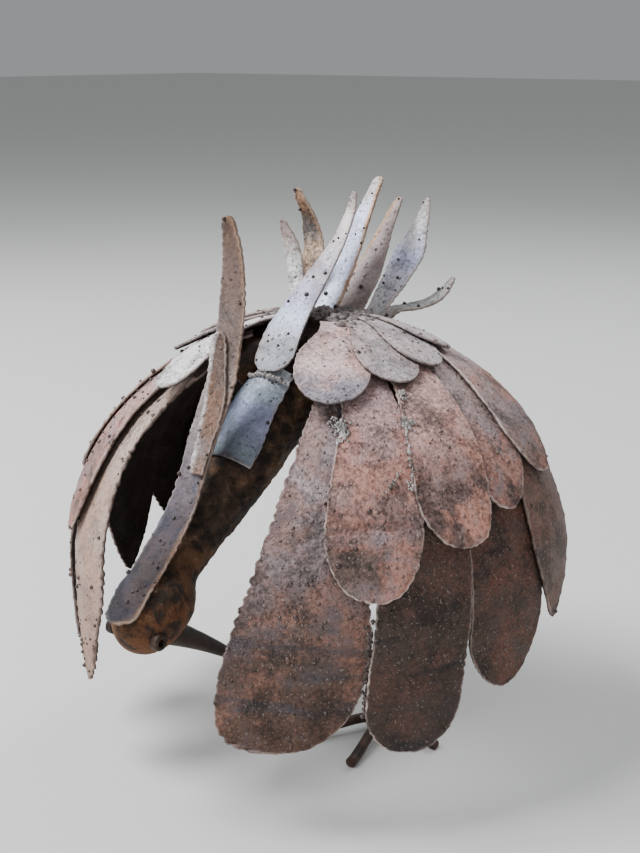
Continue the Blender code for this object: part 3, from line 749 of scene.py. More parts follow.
class Graph:
    """Node tree with one way to add any node."""

    def __init__(self, tree: bpy.types.NodeTree) -> None:
        """Keep the tree and empty it."""
        self.tree = tree
        tree.nodes.clear()

    def node(self, kind: str, settings: dict | None = None, inputs: dict | None = None) -> bpy.types.Node:
        """Add a node.

        Args:
            kind: the node's type.
            settings: the node's own settings, set first; stops are a ramp's colours.
            inputs: numbers, colours or outputs for its sockets, by name or number.

        Returns:
            The node.
        """
        made = self.tree.nodes.new(kind)
        for key, value in (settings or {}).items():
            if key == "stops":
                self.fill_ramp(made.color_ramp, value)
            else:
                setattr(made, key, value)
        for key, value in (inputs or {}).items():
            if isinstance(value, Sock):
                self.tree.links.new(value.socket, made.inputs[key])
            else:
                made.inputs[key].default_value = value
        return made

    def out(self, kind: str, output: object, settings: dict | None = None,
            inputs: dict | None = None) -> Sock:
        """Add a node and give one of its outputs."""
        return Sock(self, self.node(kind, settings, inputs).outputs[output])

    @staticmethod
    def fill_ramp(ramp: bpy.types.ColorRamp, stops: tuple) -> None:
        """Set a ramp's places and colours."""
        while len(ramp.elements) < len(stops):
            ramp.elements.new(0.5)
        for element, (place, colour) in zip(ramp.elements, stops):
            element.position = place
            element.color = (*colour, 1.0)


class Shader(Graph):
    """Material's node tree, with the few textures that the finishes share."""

    def __init__(self, name: str) -> None:
        """Start a material of a name."""
        self.made = bpy.data.materials.new(name)
        self.made.use_nodes = True
        super().__init__(self.made.node_tree)
        self.place = self.out("ShaderNodeTexCoord", "Object")

    def noise(self, size: float, detail: float, roughness: float, stretch: tuple = (1, 1, 1),
              offset: float = 0.0, distortion: float = 0.0) -> Sock:
        """Cloudy pattern whose lumps are about one size in metres."""
        inputs = {"Vector": self.place, "Location": (offset, offset * 1.7, offset * 0.6), "Scale": stretch}
        place = self.out("ShaderNodeMapping", 0, None, inputs)
        inputs = {"Vector": place, "Scale": 0.5 / size, "Detail": detail, "Roughness": roughness,
                  "Distortion": distortion}
        return self.out("ShaderNodeTexNoise", "Fac", None, inputs)

    def pimples(self, size: float, share: float, offset: float) -> Sock:
        """Round bumps of one size, on a share of the places where one could be."""
        inputs = {"Vector": self.place, "Location": (offset, offset, offset)}
        place = self.out("ShaderNodeMapping", 0, None, inputs)
        cell = self.node("ShaderNodeTexVoronoi", None, {"Vector": place, "Scale": 1 / size})
        dome = Sock(self, cell.outputs["Distance"]).over(0.42, 0.12)
        chance = self.out("ShaderNodeSeparateColor", 0, None, {"Color": Sock(self, cell.outputs["Color"])})
        return dome * chance.over(1 - share - 0.01, 1 - share + 0.01)

    def stored(self, name: str) -> Sock:
        """Number that the mesh stores at each vertex."""
        return self.out("ShaderNodeAttribute", "Fac", {"attribute_name": name})

    def on_right(self) -> Sock:
        """Share from 0 to 1 over the middle line of a sheet, from its left half to its right."""
        return self.stored("side").over(-0.1, 0.1)

    def blend(self, factor: object, first: object, second: object, kind: str = "MIX") -> Sock:
        """Blend two colours."""
        inputs = {0: factor, 6: self.colour(first), 7: self.colour(second)}
        return self.out("ShaderNodeMix", 2, {"data_type": "RGBA", "blend_type": kind}, inputs)

    @staticmethod
    def colour(value: object) -> object:
        """Colour with its alpha, or an output as it is."""
        return value if isinstance(value, Sock) else (*value, 1.0)

    def ramp(self, factor: Sock, stops: tuple) -> Sock:
        """Colour of a ramp at a value."""
        return self.out("ShaderNodeValToRGB", 0, {"stops": stops}, {"Fac": factor})

    def surface(self, colour: object, roughness: object, metallic: object, height: Sock, depth: float,
                extra: dict | None = None) -> bpy.types.Material:
        """End the material in one metal surface with a bump.

        Args:
            colour: base colour.
            roughness: roughness.
            metallic: metallic value.
            height: pattern that the bump follows.
            depth: height of the bump in metres.
            extra: further plain values of the surface.

        Returns:
            The material.
        """
        inputs = {"Strength": 1.0, "Distance": depth, "Height": height}
        bump = self.out("ShaderNodeBump", "Normal", None, inputs)
        inputs = {"Base Color": colour, "Roughness": roughness, "Metallic": metallic, "Normal": bump}
        shader = self.out("ShaderNodeBsdfPrincipled", 0, None, {**inputs, **(extra or {})})
        self.node("ShaderNodeOutputMaterial", None, {"Surface": shader})
        return self.made


@dataclass(frozen=True)
class Finish:
    """Named finish that is made into a material once."""

    name: str

    def material(self) -> bpy.types.Material:
        """Material of this finish."""
        return bpy.data.materials.get(self.name) or self.make(Shader(self.name))

    def make(self, shader: Shader) -> bpy.types.Material:
        """Fill in the material's nodes."""
        raise NotImplementedError


@dataclass(frozen=True)
class SheetFinish(Finish):
    """Rusted or heat-tinted sheet, with its colours given from root to tip.

    stops are places and colours along the sheet, bloom is the rust that spreads over them and scale the
    dark skin between. How much there is of each, of dark bands, of pimples and of pale edge are shares.
    left and right are colours of the burnt strips inside the two long edges. under is painted shade: a
    near-black colour laid on the undersides, with a share of its own, so that the inside of the shell looks
    shaded. The sizes are the metres that one lump of each pattern takes.
    """

    broad_size = 0.020
    other_size = 0.010
    stroke_size = 0.0075
    patch_size = 0.0065
    pimple_sizes = (0.0030, 0.0017)
    grain_size = 0.0010
    speck_size = 0.0006
    speck_strength = 0.3
    pimple_strength = 0.55
    stops: tuple = ((0.0, (0.2, 0.1, 0.08)), (1.0, (0.1, 0.05, 0.04)))
    bloom: Colour = (0.22, 0.075, 0.035)
    bloom_share: float = 0.5
    scale: Colour = (0.035, 0.026, 0.028)
    scale_share: float = 0.5
    edge: Colour = (0.62, 0.50, 0.45)
    edge_share: tuple[float, float] = (0.5, 0.5)
    left: Colour = (0.10, 0.06, 0.05)
    right: Colour = (0.10, 0.06, 0.05)
    strip_share: tuple[float, float] = (0.25, 0.25)
    strip_width: float = 3.0
    bands: float = 0.0
    pimple: Colour = (0.13, 0.095, 0.085)
    pimple_share: float = 0.09
    rough: tuple[float, float] = (0.46, 0.76)
    metallic: float = 0.45
    grain: float = 0.78
    seed: float = 0.0
    wander: float = 0.16
    # The pale speck colour is partly speckle and partly painted tiny glints.
    speck: Colour = (0.60, 0.54, 0.50)
    # Painted shade: under is a near-black colour for the undersides, standing in for the shade inside the
    # shell.
    under: Colour = (0.010, 0.007, 0.0055)
    underside_shade_share: float = 0.93
    depth: float = 0.0032

    def make(self, shader: Shader) -> bpy.types.Material:
        """Fill in the material's nodes."""
        broad = shader.noise(self.broad_size, 3.0, 0.5, offset=self.seed)
        patches = shader.noise(self.patch_size, 7.0, 0.66, offset=self.seed + 1.3, distortion=0.25)
        grain = shader.noise(self.grain_size, 5.0, 0.70, offset=self.seed + 2.9)
        other = shader.noise(self.other_size, 7.0, 0.68, offset=self.seed + 5.1, distortion=0.3)
        along = shader.stored("along") + (patches - 0.5) * self.wander + (broad - 0.5) * self.wander
        colour = shader.ramp(along, self.stops)
        bloom = (broad * 0.55 + patches * 0.45).over(0.46, 0.56) * self.bloom_share
        colour = shader.blend(bloom, colour, self.bloom)
        skin = other.over(0.50, 0.66) * self.scale_share
        colour = shader.blend(skin, colour, self.scale)
        if self.bands:
            colour = self.banded(shader, colour)
        colour = self.strips(shader, colour, patches)
        colour = self.grained(shader, colour, grain * 0.45 + other * 0.55)
        large, small = self.pimple_sizes
        bumps = (shader.pimples(large, self.pimple_share, self.seed + 0.11)
                 + shader.pimples(small, self.pimple_share * 2, self.seed + 0.23) * 0.5)
        colour = shader.blend(bumps * self.pimple_strength, colour, self.pimple)
        broken = (patches * 0.6 + other * 0.4).over(0.40, 0.56)
        rim = shader.stored("inset").over(0.9, 0.2) * broken * shader.on_right().between(*self.edge_share)
        colour = shader.blend(rim, colour, self.edge)
        # Painted shade: the undersides are blended towards near black, made rougher and fully metallic, so
        # the inside of the shell looks shaded.
        under = shader.stored("under") * self.underside_shade_share
        colour = shader.blend(under, colour, self.under)
        rough = (patches * 0.5 + grain * 0.5).over(0.3, 0.7).between(*self.rough)
        height = patches * 0.45 + other * 0.30 + grain * 0.14 + skin * 0.10 + bumps * 0.40
        rough = rough + under * 0.3
        metallic = (1.0 - bloom) * self.metallic * (1.0 - under) + under
        return shader.surface(colour, rough, metallic, height, self.depth)

    def banded(self, shader: Shader, colour: Sock) -> Sock:
        """Dark strokes across the lower part of the sheet."""
        strokes = shader.noise(self.stroke_size, 3.0, 0.6, (0.14, 0.14, 1.0), self.seed + 3.3, 0.5)
        lower = shader.stored("along").over(0.45, 0.75)
        return shader.blend(strokes.over(0.52, 0.64) * lower * self.bands, colour, self.scale)

    def grained(self, shader: Shader, colour: Sock, lumps: Sock) -> Sock:
        """Light and dark grain over a colour, with fine specks in it; the pale specks are partly painted
        glints.
        """
        value = lumps.over(0.38, 0.62).between(1 - self.grain, 1 + self.grain)
        grey = shader.out("ShaderNodeCombineColor", 0, None, {0: value, 1: value, 2: value})
        colour = shader.blend(0.9, colour, grey, "MULTIPLY")
        # Specks: partly speckle, and where pale partly painted tiny glints.
        specks = shader.noise(self.speck_size, 2.0, 0.5, offset=self.seed + 7.7).over(0.62, 0.72)
        return shader.blend(specks * self.speck_strength, colour, self.speck)

    def strips(self, shader: Shader, colour: Sock, patches: Sock) -> Sock:
        """Burnt strips inside the two long edges."""
        near = (shader.stored("inset") + (patches - 0.5) * self.strip_width * 2).over(self.strip_width, 0.0)
        right = shader.on_right()
        burnt = shader.blend(right, self.left, self.right)
        share = right.between(*self.strip_share)
        return shader.blend(near * share, colour, burnt)


@dataclass(frozen=True)
class CrustFinish(Finish):
    """Lumpy weld and rust crust: a dark ground, rust in its hollows and pale tops, partly the crust's own
    colour and partly a painted highlight.
    """

    dark: Colour = (0.012, 0.008, 0.006)
    brown: Colour = (0.055, 0.027, 0.015)
    rust: Colour = (0.150, 0.058, 0.020)
    pale: Colour = (0.20, 0.15, 0.12)
    rust_share: float = 0.6
    pale_share: float = 0.3
    rough: tuple[float, float] = (0.55, 0.90)
    metallic: float = 0.25
    depth: float = 0.0016
    seed: float = 0.0
    head_rust: Colour | None = None
    head_dark: Colour = (0.015, 0.007, 0.003)
    broad_size = 0.016
    lump_size = 0.0042
    grain_size = 0.0009

    def make(self, shader: Shader) -> bpy.types.Material:
        """Fill in the material's nodes."""
        lumps = shader.noise(self.lump_size, 6.0, 0.65, offset=self.seed, distortion=0.2)
        broad = shader.noise(self.broad_size, 3.0, 0.5, offset=self.seed + 2.1)
        grain = shader.noise(self.grain_size, 4.0, 0.6, offset=self.seed + 4.7)
        colour = shader.blend(lumps.over(0.36, 0.62), self.dark, self.brown)
        bloom = (broad * 0.6 + lumps * 0.4).over(0.48, 0.62) * self.rust_share
        colour = shader.blend(bloom, colour, self.rust)
        if self.head_rust:
            towards = shader.stored("along").over(0.62, 0.80)
            spots = (lumps * 0.6 + broad * 0.4).over(0.44, 0.56)
            spotted = shader.blend(spots, self.head_dark, self.head_rust)
            colour = shader.blend(towards * 0.85, colour, spotted)
        # Partly painted highlight: the raised lumps are paled, partly crust colour and partly standing in for
        # light on their tops.
        tops = (lumps * 0.7 + grain * 0.3).over(0.56, 0.70) * self.pale_share
        colour = shader.blend(tops, colour, self.pale)
        rough = grain.between(*self.rough)
        height = lumps * 0.75 + grain * 0.25
        return shader.surface(colour, rough, self.metallic, height, self.depth)


@dataclass(frozen=True)
class FloorFinish(Finish):
    """Plain pale floor."""

    colour: Colour = (0.72, 0.71, 0.69)

    def make(self, shader: Shader) -> bpy.types.Material:
        """Fill in the material's nodes."""
        grain = shader.noise(0.004, 3.0, 0.5)
        return shader.surface((*self.colour, 1.0), 0.75, 0.0, grain, 0.00002)


PRIMARY_1 = SheetFinish("primary_rust", (
    (0.0, (0.36, 0.29, 0.30)), (0.35, (0.34, 0.265, 0.275)), (0.56, (0.185, 0.135, 0.135)),
    (0.76, (0.092, 0.054, 0.042)), (1.0, (0.086, 0.044, 0.029))),
    bloom=(0.235, 0.105, 0.072), bloom_share=0.60, scale=(0.050, 0.043, 0.050), scale_share=0.75,
    edge_share=(0.35, 0.45), bands=0.65, seed=0.0)
PRIMARY_2 = SheetFinish("rear_primary_rust", (
    (0.0, (0.18, 0.115, 0.10)), (0.5, (0.072, 0.045, 0.037)), (1.0, (0.046, 0.028, 0.021))),
    bloom=(0.092, 0.033, 0.020), bloom_share=0.60, scale=(0.022, 0.018, 0.019), scale_share=0.7, bands=0.8,
    edge_share=(0.9, 0.35), seed=4.0)
PRIMARY_3 = SheetFinish("side_primary_rust", (
    (0.0, (0.22, 0.130, 0.108)), (0.5, (0.086, 0.047, 0.038)), (1.0, (0.066, 0.035, 0.025))),
    bloom=(0.160, 0.052, 0.027), scale=(0.032, 0.025, 0.025), scale_share=0.65, bands=0.6,
    edge_share=(0.45, 0.35), seed=9.0)
PRIMARY_4 = replace(PRIMARY_3, name="rear_side_rust", stops=(
    (0.0, (0.28, 0.18, 0.155)), (1.0, (0.135, 0.080, 0.066))), bloom=(0.20, 0.085, 0.050), seed=11.0)
MEDIAN = SheetFinish("median_rust", (
    (0.0, (0.62, 0.42, 0.41)), (0.40, (0.46, 0.30, 0.29)), (0.70, (0.29, 0.175, 0.155)),
    (0.85, (0.145, 0.095, 0.082)), (1.0, (0.128, 0.086, 0.074))),
    bloom=(0.46, 0.195, 0.140), bloom_share=0.65, scale=(0.17, 0.135, 0.15), scale_share=0.62, bands=0.45,
    edge_share=(0.95, 0.70), seed=14.0)
MEDIAN_WARM = replace(MEDIAN, name="warm_median_rust", stops=(
    (0.0, (0.64, 0.43, 0.41)), (0.55, (0.56, 0.325, 0.285)), (0.76, (0.21, 0.130, 0.118)),
    (1.0, (0.15, 0.096, 0.088))),
    bloom=(0.62, 0.275, 0.195), bloom_share=0.72, scale=(0.24, 0.185, 0.19), seed=19.0)
MEDIAN_GREY = replace(MEDIAN, name="grey_median_rust", stops=(
    (0.0, (0.46, 0.35, 0.335)), (0.5, (0.36, 0.25, 0.235)), (1.0, (0.20, 0.135, 0.120))), seed=21.0)
COVERT_PINK = SheetFinish("pink_covert", (
    (0.0, (0.68, 0.51, 0.50)), (0.66, (0.70, 0.51, 0.50)), (0.80, (0.36, 0.31, 0.35)),
    (1.0, (0.27, 0.24, 0.29))),
    bloom=(0.60, 0.31, 0.255), bloom_share=0.50, scale=(0.33, 0.27, 0.27), scale_share=0.45, seed=23.0,
    wander=0.08, metallic=0.3, grain=0.60, speck=(0.05, 0.035, 0.03), pimple=(0.10, 0.075, 0.075),
    pimple_share=0.20, edge_share=(0.3, 0.3))
COVERT_GREY = replace(COVERT_PINK, name="grey_covert", stops=(
    (0.0, (0.54, 0.46, 0.46)), (1.0, (0.50, 0.44, 0.46))),
    bloom=(0.56, 0.38, 0.34), bloom_share=0.40, scale=(0.22, 0.19, 0.205), scale_share=0.65, seed=27.0)
FAR_FRONT = SheetFinish("far_front_rust", (
    (0.0, (0.50, 0.38, 0.34)), (0.5, (0.56, 0.40, 0.34)), (1.0, (0.34, 0.20, 0.15))),
    bloom=(0.46, 0.26, 0.185), scale=(0.22, 0.155, 0.135), scale_share=0.45, grain=0.4, seed=31.0)
# Partly painted light: the far covert's near-white colour is its pale rust raised further, since it faces
# away from the main lamp.
FAR_COVERT = SheetFinish("far_covert", (
    (0.0, (0.70, 0.65, 0.65)), (1.0, (0.74, 0.69, 0.69))),
    bloom_share=0.05, scale=(0.30, 0.26, 0.26), scale_share=0.35, seed=34.0, speck=(0.03, 0.02, 0.02),
    pimple=(0.06, 0.05, 0.05), pimple_share=0.2, metallic=0.2)
FAR_INNER = SheetFinish("inner_rust", (
    (0.0, (0.34, 0.26, 0.24)), (1.0, (0.16, 0.105, 0.09))), seed=37.0)
# The plumes take less of the undersides' painted shade than the feathers.
FRONT_PLUME = SheetFinish("front_plume_tint", (
    (0.0, (0.36, 0.37, 0.40)), (0.16, (0.40, 0.40, 0.44)), (0.28, (0.50, 0.575, 0.74)),
    (0.40, (0.42, 0.415, 0.56)), (0.60, (0.52, 0.49, 0.56)), (0.80, (0.70, 0.60, 0.60)),
    (1.0, (0.66, 0.54, 0.53))),
    bloom=(0.50, 0.42, 0.44), bloom_share=0.35, scale=(0.22, 0.235, 0.32), scale_share=0.45, metallic=0.6,
    rough=(0.46, 0.70), grain=0.42, underside_shade_share=0.4, seed=41.0, wander=0.07, depth=0.0020,
    edge_share=(0.6, 0.6))
SECOND_PLUME = replace(FRONT_PLUME, name="second_plume_tint", stops=(
    (0.0, (0.84, 0.90, 1.0)), (0.35, (0.66, 0.73, 0.98)), (0.75, (0.66, 0.71, 0.94)),
    (0.9, (0.56, 0.52, 0.52)), (1.0, (0.54, 0.48, 0.44))), right=(0.44, 0.24, 0.11),
    strip_share=(0.1, 0.9), strip_width=2.6, seed=44.0)
MIDDLE_PLUME = SheetFinish("middle_plume_rust", (
    (0.0, (0.22, 0.17, 0.16)), (0.5, (0.40, 0.32, 0.32)), (1.0, (0.42, 0.33, 0.32))),
    bloom_share=0.2, scale=(0.15, 0.12, 0.12), left=(0.44, 0.25, 0.13), strip_share=(0.9, 0.3),
    scale_share=0.4, grain=0.4, underside_shade_share=0.4, seed=47.0)
REAR_PLUME = SheetFinish("rear_plume_tint", (
    (0.0, (0.32, 0.31, 0.31)), (0.35, (0.44, 0.44, 0.50)), (0.55, (0.38, 0.40, 0.55)),
    (0.75, (0.55, 0.55, 0.60)), (1.0, (0.54, 0.50, 0.48))),
    bloom=(0.50, 0.46, 0.46), bloom_share=0.3, scale=(0.20, 0.18, 0.19), scale_share=0.4, metallic=0.55,
    rough=(0.48, 0.72), underside_shade_share=0.4, seed=51.0, wander=0.1, edge_share=(0.4, 0.8))
LOW_PLUME = SheetFinish("low_plume_grey", (
    (0.0, (0.24, 0.22, 0.21)), (0.6, (0.32, 0.32, 0.31)), (1.0, (0.44, 0.42, 0.41))),
    bloom_share=0.1, underside_shade_share=0.4, seed=54.0, edge_share=(0.7, 0.7))
# Partly painted light: the far plume's near-white root half is its pale tint raised further, to make up for
# the shade it sits in.
FAR_PLUME = SheetFinish("far_plume_pale", (
    (0.0, (0.88, 0.85, 0.85)), (0.6, (0.94, 0.91, 0.91)), (0.80, (0.60, 0.48, 0.45)),
    (1.0, (0.26, 0.20, 0.18))),
    bloom=(0.80, 0.70, 0.68), bloom_share=0.2, scale_share=0.12, metallic=0.0, underside_shade_share=0.4, seed=57.0)
# Partly painted light: the far tall plume's pale middle is its tint raised further, to make up for the shade
# it sits in.
FAR_TALL_PLUME = SheetFinish("far_tall_plume_rust", (
    (0.0, (0.90, 0.72, 0.70)), (0.38, (0.95, 0.76, 0.68)), (0.52, (0.90, 0.72, 0.58)),
    (0.64, (0.16, 0.14, 0.135)), (1.0, (0.070, 0.066, 0.070))),
    bloom=(0.56, 0.27, 0.10), bloom_share=0.45, scale=(0.16, 0.12, 0.10), scale_share=0.35, metallic=0.0,
    left=(0.12, 0.09, 0.08), right=(0.55, 0.28, 0.09), strip_share=(0.4, 0.30), strip_width=2.2,
    underside_shade_share=0.4, seed=60.0)
CROWN_TINT = SheetFinish("crown_plume_tint", (
    (0.0, (0.018, 0.016, 0.024)), (0.20, (0.028, 0.025, 0.038)), (0.28, (0.052, 0.048, 0.068)),
    (0.34, (0.105, 0.097, 0.125)), (0.42, (0.18, 0.167, 0.195)), (0.50, (0.28, 0.25, 0.26)),
    (0.58, (0.31, 0.26, 0.25)), (0.68, (0.215, 0.165, 0.155)), (1.0, (0.165, 0.095, 0.073))),
    bloom=(0.20, 0.11, 0.07), bloom_share=0.20, scale=(0.045, 0.040, 0.050), scale_share=0.35,
    left=(0.50, 0.47, 0.50), right=(0.42, 0.22, 0.10), strip_share=(0.15, 0.35), strip_width=2.6,
    metallic=0.4, rough=(0.55, 0.80), grain=0.50, underside_shade_share=0.4, seed=64.0, wander=0.1,
    edge_share=(0.4, 0.4), speck=(0.16, 0.14, 0.16))
SHORT_CROWN_RUST = SheetFinish("short_crown_rust", (
    (0.0, (0.20, 0.155, 0.145)), (0.5, (0.15, 0.105, 0.088)), (1.0, (0.105, 0.066, 0.050))),
    bloom=(0.20, 0.090, 0.042), bloom_share=0.6, scale_share=0.6, left=(0.66, 0.61, 0.62),
    strip_share=(0.7, 0.1), strip_width=3.4, underside_shade_share=0.4, seed=67.0)
NAPE_TINT = SheetFinish("nape_tint", (
    (0.0, (0.90, 0.94, 0.98)), (0.16, (0.72, 0.78, 0.88)), (0.40, (0.36, 0.39, 0.56)),
    (0.75, (0.26, 0.27, 0.38)), (0.92, (0.16, 0.165, 0.21)), (1.0, (0.10, 0.10, 0.12))),
    bloom=(0.30, 0.38, 0.44), bloom_share=0.45, scale=(0.10, 0.095, 0.15), scale_share=0.5, metallic=0.6,
    rough=(0.46, 0.70), grain=0.40, seed=70.0, wander=0.20, depth=0.0016, edge_share=(0.4, 0.5))


@dataclass(frozen=True)
class Wing:
    """Fourteen feathers of one wing, in rows that overlap like tiles."""

    side: Side
    step: float = 0.007
    covert_root: float = 0.021
    changes: dict = field(default_factory=dict)

    def plans(self) -> list[FeatherPlan]:
        """Plans of the wing's feathers, with this side's own changes."""
        median_high = self.covert_root + self.step
        median_low = median_high + self.step
        primary_high = median_low + self.step
        primary_low = primary_high + self.step
        rows = [
            ("primary_1", 42, 28, primary_low, 0.265, 0.020, 0.077, 0.98, 0.060, 2.6, -0.014),
            ("primary_2", 66, 53, primary_high, 0.266, 0.018, 0.050, 0.62, 0.027, 2.0, 0, 1, 1),
            ("primary_3", 88, 77.6, primary_low, 0.244, 0.020, 0.056, 0.60, 0.030, 1.6),
            ("primary_4", 116, 97, primary_high, 0.220, 0.018, 0.055, 0.60, 0.045, 1.3, -0.004, 1, 1),
            ("primary_5", 133, 115, primary_low, 0.195, 0.020, 0.050, 0.60, 0.034, 1.5),
            ("primary_6", 148, 135, primary_high, 0.176, 0.014, 0.046, 0.65, 0.032, 1.5, 0, 1, 1),
            ("median_1", 57, 44.5, median_low, 0.1845, 0.017, 0.048, 0.80, 0.036, 2.0, 0.002, 2, 2),
            ("median_2", 82, 64, median_high, 0.164, 0.015, 0.041, 0.72, 0.030, 2.2, 0.006, 3, 3),
            ("median_3", 112, 82, median_low, 0.152, 0.017, 0.042, 0.62, 0.028, 1.7, 0, 2, 2),
            ("median_4", 134, 102, median_high, 0.143, 0.014, 0.046, 0.60, 0.030, 1.8, 0, 3, 3),
            ("covert_1", 52, 37, self.covert_root, 0.087, 0.013, 0.037, 0.60, 0.020, 2.0, 0, 5.4, 4),
            ("covert_2", 80, 65, self.covert_root, 0.077, 0.013, 0.034, 0.60, 0.018, 2.0, 0, 5.4, 4),
            ("covert_3", 108, 87, self.covert_root, 0.072, 0.013, 0.034, 0.60, 0.018, 1.8, 0, 5.4, 4),
            ("covert_4", 136, 114, self.covert_root, 0.066, 0.012, 0.030, 0.60, 0.018, 1.8, 0, 5.4, 4),
        ]
        return [replace(FeatherPlan(*row), **self.changes.get(row[0], {})) for row in rows]

    def finish_of(self, name: str) -> Finish:
        """Finish of a feather by its name."""
        if name.startswith("covert"):
            if name == "covert_1":
                return COVERT_PINK if self.side is Side.LEFT else FAR_COVERT
            return COVERT_GREY
        if name.startswith("median"):
            return {"median_1": MEDIAN, "median_2": MEDIAN_WARM}.get(name, MEDIAN_GREY)
        if self.side is Side.RIGHT:
            return FAR_FRONT if name == "primary_1" else FAR_INNER
        return {"primary_1": PRIMARY_1, "primary_2": PRIMARY_2, "primary_3": PRIMARY_3}.get(name, PRIMARY_4)

    def build(self) -> list[Feather]:
        """Make the wing's feathers."""
        feathers = []
        for number, plan in enumerate(self.plans()):
            slot = Slot.COVERT if plan.name.startswith("covert") else Slot.WING
            cut = TorchCut()
            if plan.name == "primary_1":
                cut = TorchCut(wave=0.0064, depth=0.0014, reach=0.0030, slag=0.0008, ragged=(1.2, 0.7))
            seed = number + 20 * (self.side is Side.RIGHT)
            feather = Feather(plan, self.side, self.finish_of(plan.name), slot, cut, seed)
            feather.build()
            feathers.append(feather)
        return feathers


LEFT_WING = Wing(Side.LEFT)
RIGHT_WING = Wing(Side.RIGHT, changes={
    "primary_1": {"root_bearing": 42, "tip_bearing": 30.5, "tip_arc": 0.266, "width": 0.056, "belly": 0.78,
                  "tip_length": 0.080, "tip_power": 1.45, "lean": 0.0125},
    "primary_2": {"tip_bearing": 60, "tip_arc": 0.262, "width": 0.055},
    "primary_3": {"tip_bearing": 86, "width": 0.046, "tip_length": 0.045, "tip_power": 1.3},
    "primary_4": {"tip_bearing": 103, "lean": 0.0},
    "covert_1": {"root_bearing": 58, "tip_bearing": 29, "tip_arc": 0.092},
})


@dataclass(frozen=True)
class Neck:
    """Neck and head: distances ahead of the shell's axis and below its crown, and sizes."""

    ahead: tuple = (0.008, 0.038, 0.060, 0.075, 0.0925, 0.110)
    drop: tuple = (0.027, 0.038, 0.057, 0.072, 0.088, 0.102)
    radii: tuple = (0.0225, 0.0205, 0.0183, 0.0154, 0.0123, 0.0108)
    head_length: float = 0.053
    head_radius: float = 0.0188
    head_sag: float = 0.002
    pitch: float = math.radians(38.5)
    swell_end: float = 0.42
    close_start: float = 0.50
    close_power: float = 2.4

    def line(self) -> Array:
        """Points that the neck's middle line passes through."""
        return np.array([(SHELL.axis_x, SHELL.axis_y - ahead, SHELL.crown - drop)
                         for ahead, drop in zip(self.ahead, self.drop)])

    @property
    def direction(self) -> Array:
        """Direction of the head from the nape to its lowest end."""
        return np.array((0, -math.cos(self.pitch), -math.sin(self.pitch)))

    @property
    def up(self) -> Array:
        """Direction square to the head, up and ahead."""
        return np.array((0, -math.sin(self.pitch), math.cos(self.pitch)))

    def head_point(self, share: Array) -> Array:
        """Points on the head's middle line."""
        share = np.asarray(share, dtype=float)[..., None]
        start = self.line()[-1]
        return start + self.direction * self.head_length * share - self.up * self.head_sag * smooth(share * 2)

    def head_size(self, share: Array) -> Array:
        """Radius of the head, which closes like an egg."""
        swell = mix(self.radii[-1], self.head_radius, smooth(np.asarray(share) / self.swell_end))
        closing = np.clip((np.asarray(share) - self.close_start) / (1 - self.close_start), 0, 1)
        return swell * np.sqrt(np.clip(1 - closing**self.close_power, 0, 1))


NECK = Neck()


class Tube(Piece):
    """Closed tube on a fine grid with a rough skin and flat or rounded ends."""

    grain_height = 0.00012
    grain_wave = 0.004

    def __init__(self, name: str, centres: Array, radii: Array, sides: int, finish: Finish,
                 slot: Slot) -> None:
        """Keep the tube's middle line, its radii and its looks.

        Args:
            name: the solid's name.
            centres: points along the middle, close together.
            radii: radius at each point.
            sides: points round each ring.
            finish: the finish that it wears.
            slot: the record's material slot.
        """
        self.name, self.centres, self.radii, self.sides = name, centres, radii, sides
        self.finish, self.slot = finish, slot

    def skin(self, points: Array, normals: Array, share: Array) -> Array:
        """How far the skin stands off the plain tube."""
        return self.grain_height * CRUST.rough(points, self.grain_wave, 3)

    def rings(self) -> tuple[Array, Array]:
        """Points and outward normals of the plain tube, ring by ring."""
        tangents = unit(np.gradient(self.centres, axis=0))
        side = np.array((1.0, 0, 0)) if abs(tangents[:, 0]).max() < 0.9 else np.array((0, 0, 1.0))
        across = unit(side - tangents * (tangents @ side)[:, None])
        up = np.cross(across, tangents)
        turns = np.linspace(0, 2 * math.pi, self.sides, endpoint=False)
        normals = across[:, None] * np.cos(turns)[None, :, None] + up[:, None] * np.sin(turns)[None, :, None]
        return self.centres[:, None] + normals * self.radii[:, None, None], normals

    def build(self) -> bpy.types.Object:
        """Make the tube and hide its solid."""
        points, normals = self.rings()
        count = len(self.centres)
        share = np.broadcast_to(np.linspace(0, 1, count)[:, None], points.shape[:2])
        points = points + normals * self.skin(points, normals, share)[..., None]
        ends = np.stack([points[0].mean(axis=0), points[-1].mean(axis=0)])
        index = np.arange(count * self.sides).reshape(count, self.sides)
        following = np.roll(index, -1, axis=1)
        quads = np.stack([index[:-1], following[:-1], following[1:], index[1:]], axis=-1)
        quads = quads.reshape(-1, 4).tolist()
        first, last = count * self.sides, count * self.sides + 1
        fans = [(first, int(b), int(a)) for a, b in zip(index[0], following[0])]
        fans += [(last, int(a), int(b)) for a, b in zip(index[-1], following[-1])]
        vertices = np.concatenate([points.reshape(-1, 3), ends])
        made = self.finish_object(self.name + "_skin", vertices, quads + fans, self.finish, self.slot)
        self.mark(made, "along", np.concatenate([share.ravel(), [0, 1]]))
        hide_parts(self.name)
        return made


